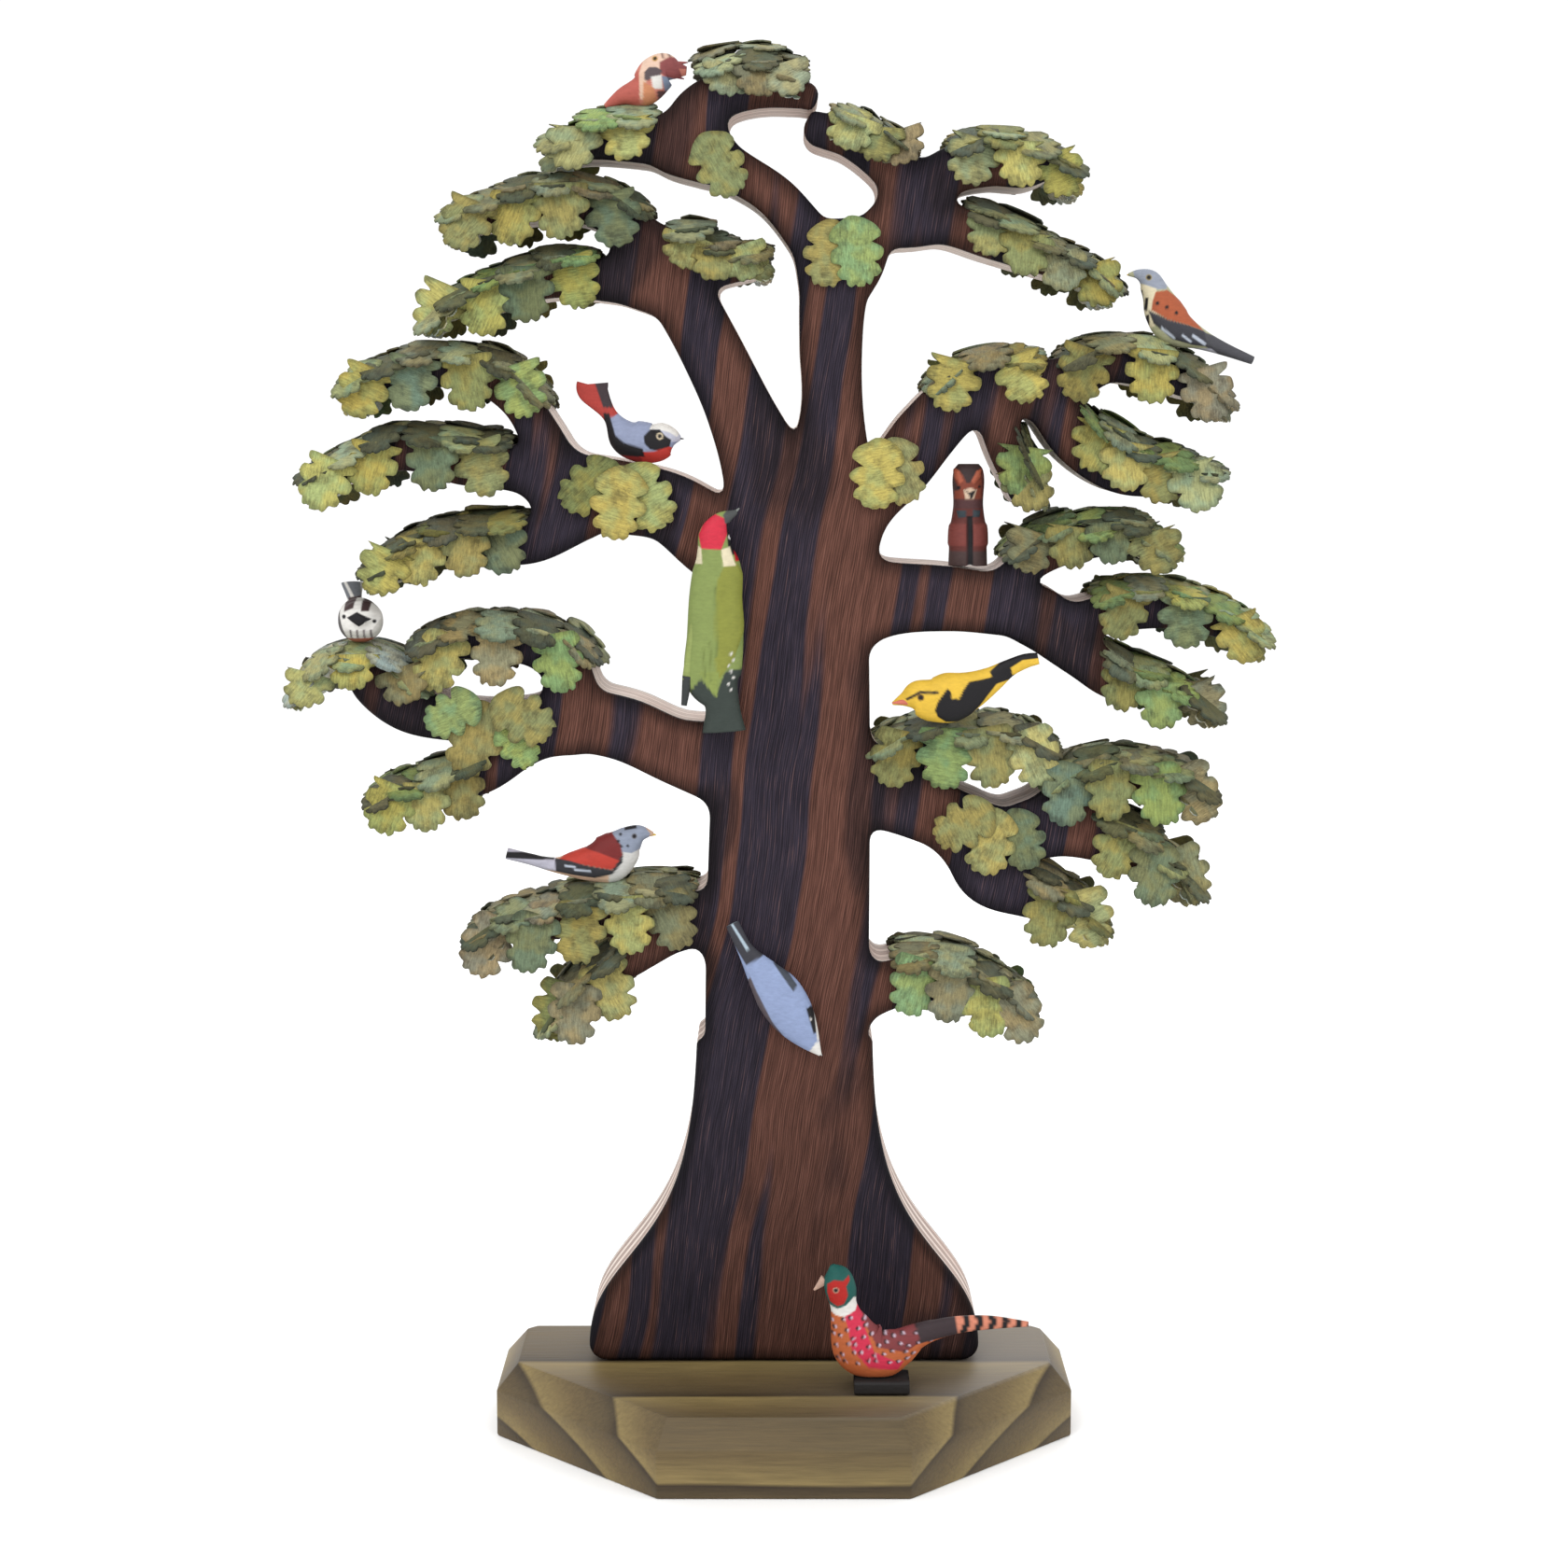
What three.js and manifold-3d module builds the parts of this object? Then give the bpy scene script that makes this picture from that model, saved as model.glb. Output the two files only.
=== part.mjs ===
// A sawn and painted bird tree: a thick laminated board cut to the outline of an old oak, standing on
// a chamfered plinth, dressed with veneer leaves and nine small carved birds and a squirrel.
// Millimetres, +Z up. X runs across the tree, Y from front to back, and the origin is at the middle
// of the plinth's underside.
import * as THREE from 'three';
import { mergeVertices } from 'three/addons/utils/BufferGeometryUtils.js';
import Module from 'manifold-3d';

// Driving sizes of the board and its plinth
const TREE_HEIGHT = 370;
const BOARD_THICKNESS = 30;
const BOARD_EDGE = 1.6;
const PLINTH_WIDTH = 170;
const PLINTH_DEPTH = 94;
const PLINTH_FRONT_EDGE = 71;
const PLINTH_SIDE_SETBACK = 50.5;
const PLINTH_BACK_CORNER = 6.5;
const PLINTH_BAND = 14.1;
const PLINTH_CHAMFER_RISE = 7.6;
const PLINTH_CHAMFER_RUN = 6.4;
const BOARD_SETBACK = 53.4;

// Driving sizes of the veneer that the leaves are cut from, and their fit round the board
const LEAF_THICKNESS = 1.2;
const LEAF_CLEARANCE = 0.4;

// Sizes of the leaves in hundredths of the tree's height: one leaf, then the step between two
// leaves, their lift off the limb, the ridge along a spray's top and the flare of its lower rim
const LEAF = { length: 4.05, width: 3.5, step: 4.05, lift: 0.32, ridge: 0.54, flare: 0.8 };

// Fit between glued pieces, and lengths of the carved figures
const GLUE_LINE = 0.3;
const JAY_LENGTH = 24;
const FIELDFARE_LENGTH = 39;
const REDSTART_LENGTH = 31;
const WOODPECKER_HEIGHT = 62;
const TIT_LENGTH = 19;
const ORIOLE_LENGTH = 42;
const LINNET_LENGTH = 42;
const NUTHATCH_LENGTH = 49;
const PHEASANT_LENGTH = 62;
const SQUIRREL_HEIGHT = 29.5;
const FOOT_BLOCK_LENGTH = 15;
const FOOT_BLOCK_WIDTH = 12;
const FOOT_BLOCK_HEIGHT = 4;
const PERCH_SETBACK = 7;
const PHEASANT_SETBACK = 29;
const ORIOLE_OVERHANG = 2;
const TIT_TURN = -72;
const ORIOLE_TURN = -6;

// The outline's own roundings and how finely it is cut, in hundredths of the tree's height
const CROTCH_ROUND = 1.08;
const FOOT_ROUND = 1.35;
const GRID_STEP = 0.4;
const OUTLINE_TOLERANCE = 0.216;
const LIMB_STEPS = 9;
const FIGURE_SIDES = 8;

const U = TREE_HEIGHT / 100;
const PLINTH_HEIGHT = PLINTH_BAND + PLINTH_CHAMFER_RISE;
const PLINTH_FRONT = -PLINTH_DEPTH / 2;
const BOARD_FRONT = PLINTH_FRONT + BOARD_SETBACK;
const BOARD_BACK = BOARD_FRONT + BOARD_THICKNESS;
const BOARD_MIDDLE = (BOARD_FRONT + BOARD_BACK) / 2;
const FOOT_LEVEL = PLINTH_HEIGHT + GLUE_LINE;
const LEAF_LENGTH = LEAF.length * U;
const LEAF_WIDTH = LEAF.width * U;
const LEAF_LIFT = LEAF.lift * U;

// The tree's limbs, drawn as strokes. Each point is [across, up, half the limb's width] in
// hundredths of the tree's height, measured from the middle of its foot.
const LIMBS = {
  trunk: [[0.1, 20, 6.4], [0.3, 35, 6.4], [0.6, 50, 6.1], [1, 61, 5.5], [1.8, 67, 4.3]],
  stem: [[2.3, 61.2, 5.1], [3.4, 68.4, 3.6], [3.7, 75.5, 2.4], [3.6, 80.4, 2.4], [3.8, 84.3, 2.6],
    [4.5, 86.8, 3]],
  bow: [[3.8, 86.4, 2.6], [2, 88.6, 1.8], [-0.5, 91.5, 1.6], [-3.2, 93.3, 1.6], [-5.9, 94.6, 1.9],
    [-8.1, 95.1, 1.7]],
  jay_branch: [[-6.4, 95.5, 2.3], [-9.9, 95.8, 1.8], [-14.1, 95.7, 1.3], [-16.6, 95.1, 0.8]],
  crown: [[-7.4, 95.8, 2.1], [-6.5, 97.8, 2], [-4.6, 99.2, 1.7], [-1.8, 99.6, 1.4], [1.6, 99.2, 1]],
  fork: [[4.6, 86.9, 2.6], [7, 88.9, 1.7], [9.4, 91.3, 1.8]],
  crown_right: [[9.8, 92, 2.1], [7.9, 94.1, 1.7], [5.3, 96, 1.6], [2.8, 96.6, 1.3]],
  ear: [[10.3, 91.5, 2], [12.6, 93.5, 1.8], [15.6, 94.2, 1.8], [18.1, 93.9, 1.6], [19.5, 93.7, 1]],
  arm_right: [[9.6, 89.9, 2.1], [12.4, 89.6, 1.6], [16, 88.4, 1.5], [22.1, 85.9, 0.8]],
  great_left: [[-0.1, 64.1, 4.3], [-1.4, 70.5, 3.3], [-3.4, 75.5, 2.6], [-5.5, 79.9, 2.4],
    [-7.5, 83.6, 2.4], [-9.1, 86.4, 2.7]],
  arm_left: [[-9.6, 86.1, 2.7], [-11.6, 88.9, 1.9], [-13.8, 90.5, 1.4], [-17.7, 91.2, 1.3],
    [-23.8, 89.9, 0.8]],
  elbow_left: [[-8.9, 85.4, 2.5], [-13.2, 85.4, 1.7], [-17.8, 85.4, 1.4], [-23.1, 83.8, 0.9]],
  knob: [[-10.7, 86.1, 2.4], [-7.8, 86.3, 2], [-5, 86.3, 1.4], [-2.5, 86.4, 0.9]],
  mid_left: [[-0.7, 64.1, 3.6], [-4.7, 65.3, 3.2], [-8.8, 68, 2.7], [-12.9, 68.9, 2.8], [-16.9, 69.6, 2.7]],
  mid_left_top: [[-17.4, 70.1, 2.2], [-18.8, 73.7, 1.6], [-20.5, 76.3, 1.4], [-23.2, 78, 1.3],
    [-27.1, 78.5, 1.2], [-31.1, 77.6, 0.8]],
  mid_left_mid: [[-16.9, 69.8, 1.8], [-20.8, 71, 1.7], [-24.8, 71.4, 1.6], [-29.4, 72.2, 1.3],
    [-35, 70.3, 0.8]],
  mid_left_low: [[-16.2, 67.6, 2.3], [-19.4, 65.5, 1.7], [-23, 65, 1.4], [-26.6, 64.8, 1.2],
    [-30.6, 63, 0.8]],
  low_left: [[0.7, 45.9, 4.4], [-3.6, 47.8, 3.5], [-8.4, 49.1, 2.6], [-12.3, 50.8, 2.5],
    [-16.3, 51.7, 2.5]],
  low_left_top: [[-16.5, 52.1, 2.3], [-17, 55.4, 1.9], [-19.2, 57, 1.4], [-22.8, 57.6, 1.3],
    [-26.4, 57.2, 0.8]],
  low_left_out: [[-16.7, 51.4, 2.2], [-21.1, 51.3, 1.5], [-25.4, 51.4, 1.5], [-29.2, 52.5, 1.9],
    [-31.9, 54.3, 1.7], [-32.9, 55.7, 1]],
  low_left_down: [[-17.4, 51.1, 1.9], [-20.3, 49.4, 1.5], [-23.3, 47.2, 1.3], [-27.3, 45.7, 1.1],
    [-30.2, 45.1, 0.8]],
  foot_left: [[-0.7, 34, 4.4], [-5.1, 35.5, 2.6], [-9.5, 35.9, 2], [-14.6, 35.9, 1.5], [-21.3, 34.8, 0.8]],
  foot_left_down: [[-9.2, 34.8, 1.8], [-12.1, 32.5, 1.3], [-14.7, 30.7, 1], [-16.5, 28.8, 0.8]],
  high_right: [[2.9, 65.5, 3.6], [6.5, 68.7, 2.4], [9, 71.2, 2.4], [11.1, 73.9, 2.4], [13.5, 76.1, 2.1],
    [17.2, 77.4, 2]],
  high_right_out: [[12.2, 75.3, 1.7], [15.7, 77.3, 2], [19.3, 77.4, 1.9], [22.2, 78, 1.7],
    [25, 79, 1.4], [28.6, 78.5, 1.4], [31.5, 77.1, 0.8]],
  high_right_drop: [[16.1, 76.2, 1.6], [17.1, 72.6, 1.4], [18.3, 69.1, 0.9]],
  high_right_low: [[20.4, 76.2, 1.9], [22.7, 73.2, 2], [25.8, 71.1, 1.9], [29.1, 70.3, 1.4],
    [32, 69.9, 0.8]],
  mid_right: [[2.9, 60.4, 4.3], [7.9, 61, 2.9], [13, 61, 2.5], [17.7, 60.3, 2.2], [21.7, 59.2, 1.5],
    [26, 60, 1.5], [30.3, 60, 1.3], [34.7, 58.6, 0.8]],
  mid_right_top: [[17.4, 62, 1.5], [19.2, 63.9, 1.4], [22.2, 65.2, 1.4], [26.3, 65.6, 1.2],
    [29.2, 64.2, 0.8]],
  mid_right_low: [[19.9, 59.4, 2.3], [23.2, 56.6, 1.8], [25.9, 54.6, 1.5], [29.7, 53.4, 0.8]],
  low_right: [[2.9, 47.3, 4.4], [7.3, 45.9, 2.9], [11.7, 44.3, 2.6], [15.3, 42.3, 2.4],
    [19.7, 43.1, 2.2], [22.6, 45.7, 1.7], [26.2, 47, 1.4], [29.8, 46.5, 0.8]],
  low_right_twig: [[6.9, 47.2, 1.7], [10.9, 49.4, 1.2], [14.9, 50, 0.9], [18.2, 49.5, 0.8]],
  low_right_mid: [[19.7, 42.9, 2], [23.3, 42.7, 2], [27, 41.3, 1.5], [29.6, 39.6, 0.8]],
  low_right_down: [[14.6, 42.9, 2.5], [15.9, 39.4, 2.3], [19, 37.8, 1.8], [22.3, 36.3, 0.8]],
  foot_right: [[2.2, 29.9, 4.4], [7, 30.3, 2.2], [10.7, 31, 1.8], [14.3, 30.4, 1.3], [17.3, 29, 0.8]],
};

// The trunk's foot: it spreads from the waist to the full width in one smooth bell
const FOOT = { half: 15.6, waist: 6.4, rise: 10.3, sharpness: 3.2, top: 26 };

const wasm = await Module();
wasm.setup();

// Closed-mesh helpers
function weld(geometry) {
  const plain = geometry.index ? geometry.toNonIndexed() : geometry.clone();
  plain.deleteAttribute('normal');
  plain.deleteAttribute('uv');
  return mergeVertices(plain, 1e-4);
}

function toSolid(geometry) {
  const welded = weld(geometry);
  return new wasm.Manifold(new wasm.Mesh({
    numProp: 3,
    vertProperties: new Float32Array(welded.attributes.position.array),
    triVerts: new Uint32Array(welded.index.array),
  }));
}

function toGeometry(solid) {
  const mesh = solid.getMesh();
  const geometry = new THREE.BufferGeometry();
  geometry.setAttribute('position', new THREE.BufferAttribute(new Float32Array(mesh.vertProperties), 3));
  geometry.setIndex(new THREE.BufferAttribute(new Uint32Array(mesh.triVerts), 1));
  return geometry;
}

function join(geometries) {
  const solids = geometries.map(toSolid);
  return toGeometry(solids.reduce((whole, piece) => whole.add(piece)));
}

// The tree's outline: how far a point lies outside the union of all its strokes
function smoothMin(a, b, blend) {
  const h = THREE.MathUtils.clamp(0.5 + 0.5 * (b - a) / blend, 0, 1);
  return THREE.MathUtils.lerp(b, a, h) - blend * h * (1 - h);
}

function limbCurve(points) {
  const knots = points.map((point) => new THREE.Vector3(...point).multiplyScalar(U));
  return new THREE.CatmullRomCurve3(knots, false, 'catmullrom', 0.5);
}

const CURVES = Object.fromEntries(Object.entries(LIMBS).map(([name, points]) => [name, limbCurve(points)]));
const STROKES = Object.entries(CURVES).map(([name, curve]) => {
  return curve.getPoints((LIMBS[name].length - 1) * LIMB_STEPS);
});

function strokeDistance(x, z, stroke) {
  let nearest = Infinity;
  for (let i = 1; i < stroke.length; i++) {
    const a = stroke[i - 1];
    const b = stroke[i];
    const dx = b.x - a.x;
    const dz = b.y - a.y;
    const t = THREE.MathUtils.clamp(((x - a.x) * dx + (z - a.y) * dz) / (dx * dx + dz * dz), 0, 1);
    const away = Math.hypot(x - a.x - t * dx, z - a.y - t * dz) - THREE.MathUtils.lerp(a.z, b.z, t);
    nearest = Math.min(nearest, away);
  }
  return nearest;
}

function footDistance(x, z) {
  const spread = 1 + Math.pow(Math.max(z, 0) / (FOOT.rise * U), FOOT.sharpness);
  const half = (FOOT.waist + (FOOT.half - FOOT.waist) / spread) * U;
  const side = Math.abs(x) - half;
  const round = FOOT_ROUND * U;
  const corner = Math.hypot(Math.max(side + round, 0), Math.max(round - z, 0)) - round;
  const body = z < round ? Math.max(corner, side) : side;
  return Math.max(body, z - FOOT.top * U, -z);
}

function treeDistance(x, z) {
  const blend = (nearest, stroke) => smoothMin(nearest, strokeDistance(x, z, stroke), CROTCH_ROUND * U);
  return STROKES.reduce(blend, footDistance(x, z));
}

// Walk the zero line of the distance over a grid and return its closed loops
function traceLoops(distance, low, high, step) {
  const columns = Math.ceil((high.x - low.x) / step);
  const rows = Math.ceil((high.y - low.y) / step);
  const value = (i, j) => distance(low.x + i * step, low.y + j * step);
  const column = (i) => Float64Array.from({ length: rows + 1 }, (_, j) => value(i, j));
  const grid = Array.from({ length: columns + 1 }, (_, i) => column(i));
  const crossings = new Map();
  const links = new Map();
  const crossing = (i, j, upright) => {
    const key = `${i},${j},${upright}`;
    if (!crossings.has(key)) {
      const a = grid[i][j];
      const b = upright ? grid[i][j + 1] : grid[i + 1][j];
      const t = THREE.MathUtils.clamp(a / (a - b), 0.02, 0.98);
      const across = i + (upright ? 0 : t);
      const up = j + (upright ? t : 0);
      crossings.set(key, new THREE.Vector2(low.x + across * step, low.y + up * step));
    }
    return key;
  };
  for (let i = 0; i < columns; i++) {
    for (let j = 0; j < rows; j++) {
      const corners = [grid[i][j], grid[i + 1][j], grid[i + 1][j + 1], grid[i][j + 1]];
      const inside = corners.map((d) => d < 0);
      const sides = [[i, j, false], [i + 1, j, true], [i, j + 1, false], [i, j, true]];
      for (let side = 0; side < 4; side++) {
        if (!inside[side] || inside[(side + 1) % 4]) continue;
        let entry = side;
        do entry = (entry + 3) % 4; while (inside[entry] || !inside[(entry + 1) % 4]);
        links.set(crossing(...sides[side]), crossing(...sides[entry]));
      }
    }
  }
  const loops = [];
  while (links.size > 0) {
    const loop = [];
    let key = links.keys().next().value;
    while (links.has(key)) {
      const next = links.get(key);
      loop.push(crossings.get(key));
      links.delete(key);
      key = next;
    }
    loops.push(loop);
  }
  return loops;
}

// Drop the points that a straight chord passes within the tolerance
function simplify(points, tolerance) {
  if (points.length < 3) return points;
  const first = points[0];
  const last = points[points.length - 1];
  const chord = last.clone().sub(first);
  const span = chord.length() || 1;
  let worst = 0;
  let index = 0;
  for (let i = 1; i < points.length - 1; i++) {
    const offset = points[i].clone().sub(first);
    const away = first.equals(last) ? offset.length() : Math.abs(chord.cross(offset)) / span;
    if (away > worst) {
      worst = away;
      index = i;
    }
  }
  if (worst <= tolerance) return [first, last];
  const before = simplify(points.slice(0, index + 1), tolerance);
  const after = simplify(points.slice(index), tolerance);
  return [...before.slice(0, -1), ...after];
}

function simplifyLoop(loop, tolerance) {
  return simplify([...loop, loop[0]], tolerance).slice(0, -1);
}

function treeShape() {
  const margin = 4 * U;
  const points = Object.values(LIMBS).flat();
  const low = new THREE.Vector2(Math.min(...points.map((p) => p[0])) * U - margin, -margin);
  const high = new THREE.Vector2(Math.max(...points.map((p) => p[0])) * U + margin, TREE_HEIGHT + 2 * margin);
  const traced = traceLoops(treeDistance, low, high, GRID_STEP * U);
  const loops = traced.map((loop) => simplifyLoop(loop, OUTLINE_TOLERANCE * U));
  const size = (loop) => Math.abs(THREE.ShapeUtils.area(loop));
  loops.sort((a, b) => size(b) - size(a));
  const shape = new THREE.Shape(loops[0]);
  shape.holes = loops.slice(1).filter((loop) => size(loop) > U * U).map((loop) => new THREE.Path(loop));
  return shape;
}

const TREE_SHAPE = treeShape();

function boardGeometry() {
  return new THREE.ExtrudeGeometry(TREE_SHAPE, {
    depth: BOARD_THICKNESS - 2 * BOARD_EDGE,
    bevelEnabled: true,
    bevelThickness: BOARD_EDGE,
    bevelSize: BOARD_EDGE,
    bevelOffset: -BOARD_EDGE,
    bevelSegments: 1,
    curveSegments: 1,
  }).translate(0, 0, BOARD_EDGE);
}

// The room that the leaves leave free: the board grown by their clearance, upright in its place
function boardRoom() {
  return toSolid(new THREE.ExtrudeGeometry(TREE_SHAPE, {
    depth: BOARD_THICKNESS + LEAF_CLEARANCE,
    bevelEnabled: true,
    bevelThickness: LEAF_CLEARANCE / 2,
    bevelSize: 0,
    bevelOffset: LEAF_CLEARANCE,
    bevelSegments: 1,
    curveSegments: 1,
  }).translate(0, 0, -LEAF_CLEARANCE / 2).rotateX(Math.PI / 2).translate(0, BOARD_BACK, 0));
}

// The plinth: a straight front edge, two slanting sides, square back with small cut corners
function plinthShape() {
  const half = PLINTH_WIDTH / 2;
  const back = PLINTH_DEPTH / 2;
  const right = [
    [PLINTH_FRONT_EDGE / 2, PLINTH_FRONT],
    [half, PLINTH_FRONT + PLINTH_SIDE_SETBACK],
    [half, back - PLINTH_BACK_CORNER],
    [half - PLINTH_BACK_CORNER, back],
  ];
  const left = right.map(([x, y]) => [-x, y]).reverse();
  return new THREE.Shape([...right, ...left].map(([x, y]) => new THREE.Vector2(x, y)));
}

function plinthGeometry() {
  const whole = new THREE.ExtrudeGeometry(plinthShape(), {
    depth: 2 * PLINTH_BAND,
    bevelEnabled: true,
    bevelThickness: PLINTH_CHAMFER_RISE,
    bevelSize: PLINTH_CHAMFER_RUN,
    bevelOffset: -PLINTH_CHAMFER_RUN,
    bevelSegments: 1,
  }).translate(0, 0, -PLINTH_BAND);
  const below = new THREE.BoxGeometry(2 * PLINTH_WIDTH, 2 * PLINTH_DEPTH, 2 * PLINTH_HEIGHT);
  return toGeometry(toSolid(whole).subtract(toSolid(below.translate(0, 0, -PLINTH_HEIGHT))));
}

// One lobed leaf, its stem end at the origin and its tip along +Y
const LEAF_LOBES = [
  [0.08, 0], [0.44, 0.18], [0.34, 0.34], [0.5, 0.5], [0.36, 0.66], [0.36, 0.88],
];

function leafShape(scale) {
  const side = LEAF_LOBES.map(([across, along]) => {
    return new THREE.Vector2(across * LEAF_WIDTH * scale, along * LEAF_LENGTH * scale);
  });
  const tip = new THREE.Vector2(0, LEAF_LENGTH * scale);
  const mirrored = side.map((p) => new THREE.Vector2(-p.x, p.y)).reverse();
  return new THREE.Shape([...side, tip, ...mirrored]);
}

// A group of leaves glued flat on the board's face, their tips hanging, each turned by so much
function rosetteGeometry(leaves) {
  const plates = leaves.map(([across, up, turn, size], index) => {
    const plate = new THREE.ExtrudeGeometry(leafShape(size), { depth: LEAF_THICKNESS, bevelEnabled: false });
    plate.translate(0, -LEAF_LENGTH * size / 2, (index % 2) * LEAF_THICKNESS / 2);
    plate.rotateZ(THREE.MathUtils.degToRad(180 + turn)).rotateX(Math.PI / 2);
    return plate.translate(across * U, BOARD_FRONT - LEAF_CLEARANCE, up * U);
  });
  return join(plates);
}

const BOARD_ROOM = boardRoom();

// Shares of the run between two stations where it is tried against the wood
const SPAN_TRIES = [0.25, 0.5, 0.75];

// How the free end of a spray past its limb bends: how far it falls and turns down, and by what
// share it closes in and its rim shortens
const DROOP = { fall: 0.35, turn: 0.7, close: 0.45, shorten: 0.3 };

// How finely and how far a station climbs out of the wood, in millimetres and in hundredths of
// the tree's height
const CLIMB = { step: 0.1, most: 1.5 };

// Lanes across a spray, from its front rim over the ridge to its back rim. Between two lobes the
// rim hangs and flares by these shares, and the sheet thins to this share at the rim.
const SPRAY_LANES = 4;
const NOTCH = { drop: 0.66, flare: 0.5 };
const RIM_THINNING = 0.15;

// Lift two neighbouring stations until the straight run between them clears the wood
function clearSpan(a, b) {
  const top = (station) => station.point.clone().addScaledVector(station.normal, station.rise).setZ(0);
  for (const share of SPAN_TRIES) {
    const between = top(a).lerp(top(b), share);
    const short = LEAF_CLEARANCE - treeDistance(between.x, between.y);
    const lift = THREE.MathUtils.clamp(short, 0, LEAF_LIFT);
    a.rise += lift;
    b.rise += lift;
  }
}

// The line that a spray of leaves follows along its limb and past its tip
function sprayStations(spray) {
  const curve = spray.path ? limbCurve(spray.path) : CURVES[spray.on];
  const { from = 0, to = 1, over = 0 } = spray;
  const finish = curve.getPoint(to);
  const forward = curve.getTangent(to).setZ(0).normalize();
  const lengths = curve.getLengths();
  const lengthAt = (t) => lengths[Math.round(t * (lengths.length - 1))];
  const along = lengthAt(to) - lengthAt(from);
  const beyond = over * LEAF_LENGTH;
  const leaves = Math.max(2, Math.round((along + beyond) / (LEAF.step * U)));
  const stations = [];
  for (let i = 0; i <= 2 * leaves; i++) {
    const travelled = (along + beyond) * i / (2 * leaves);
    const past = Math.max(travelled - along, 0);
    const t = Math.min(from + (to - from) * travelled / along, to);
    const point = past > 0 ? finish.clone().addScaledVector(forward, past) : curve.getPoint(t);
    const heading = past > 0 ? forward.clone() : curve.getTangent(t).setZ(0).normalize();
    const droop = past > 0 ? past / beyond : 0;
    point.y -= DROOP.fall * Math.max(past - finish.z, 0) * droop;
    heading.y -= DROOP.turn * droop;
    heading.normalize();
    const normal = new THREE.Vector3(-heading.y, heading.x, 0);
    if (normal.y < 0) normal.negate();
    let rise = point.z;
    const inWood = () => treeDistance(point.x + normal.x * rise, point.y + normal.y * rise) < 0;
    const highest = point.z + CLIMB.most * U;
    while (past === 0 && rise < highest && inWood()) rise += CLIMB.step;
    stations.push({ point, normal, rise: rise + LEAF_LIFT, droop, lobe: i % 2 });
  }
  stations.slice(1).forEach((station, i) => clearSpan(stations[i], station));
  return stations;
}

// A spray of leaves laid like shingles over the top, front and back of a limb, fused in one sheet
function sprayGeometry(spray) {
  const stations = sprayStations(spray);
  const sheet = new THREE.BoxGeometry(1, 1, 1, stations.length - 1, SPRAY_LANES, 1);
  const position = sheet.attributes.position;
  const forwards = stations[stations.length - 1].point.x > stations[0].point.x;
  const ridge = (spray.ridge ?? LEAF.ridge) * U;
  for (let v = 0; v < position.count; v++) {
    const index = Math.round((position.getX(v) + 0.5) * (stations.length - 1));
    const station = stations[forwards ? index : stations.length - 1 - index];
    const lane = Math.round(position.getY(v) * SPRAY_LANES);
    const isRim = Math.abs(lane) === SPRAY_LANES / 2;
    const isCrown = lane === 0;
    const outer = position.getZ(v) > 0 ? LEAF_THICKNESS : 0;
    const half = (BOARD_THICKNESS / 2 + LEAF_LIFT) * (1 - DROOP.close * station.droop);
    const shorten = (station.lobe ? 1 : NOTCH.drop) * (1 - DROOP.shorten * station.droop);
    const hang = spray.drop * LEAF_LENGTH * shorten;
    const flare = LEAF.flare * U * (station.lobe ? 1 : NOTCH.flare);
    const above = isRim ? outer * RIM_THINNING - hang : outer;
    const up = station.rise + above + (isCrown ? ridge : 0);
    const sideways = isCrown ? 0 : Math.sign(lane) * (half + outer + (isRim ? flare : 0));
    const x = station.point.x + station.normal.x * up;
    const z = station.point.y + station.normal.y * up;
    position.setXYZ(v, x, BOARD_MIDDLE + sideways, z);
  }
  return toGeometry(toSolid(sheet).subtract(BOARD_ROOM));
}

// A carved figure: elliptical sections along a bent spine, from its tail or base to its head. Each
// section is [across, up, half its height, half its width] in shares of the figure's length.
function figureGeometry(length, sections) {
  const rows = sections.length - 1;
  const body = new THREE.CylinderGeometry(1, 1, 1, FIGURE_SIDES, rows);
  const position = body.attributes.position;
  const spine = sections.map(([x, z]) => new THREE.Vector2(x, z).multiplyScalar(length));
  for (let v = 0; v < position.count; v++) {
    const index = Math.round((0.5 - position.getY(v)) * rows);
    const before = spine[Math.max(index - 1, 0)];
    const after = spine[Math.min(index + 1, rows)];
    const ahead = after.clone().sub(before).normalize();
    const height = position.getZ(v) * sections[index][2] * length;
    const width = position.getX(v) * sections[index][3] * length;
    position.setXYZ(v, spine[index].x - ahead.y * height, width, spine[index].y + ahead.x * height);
  }
  return weld(body);
}

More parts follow.
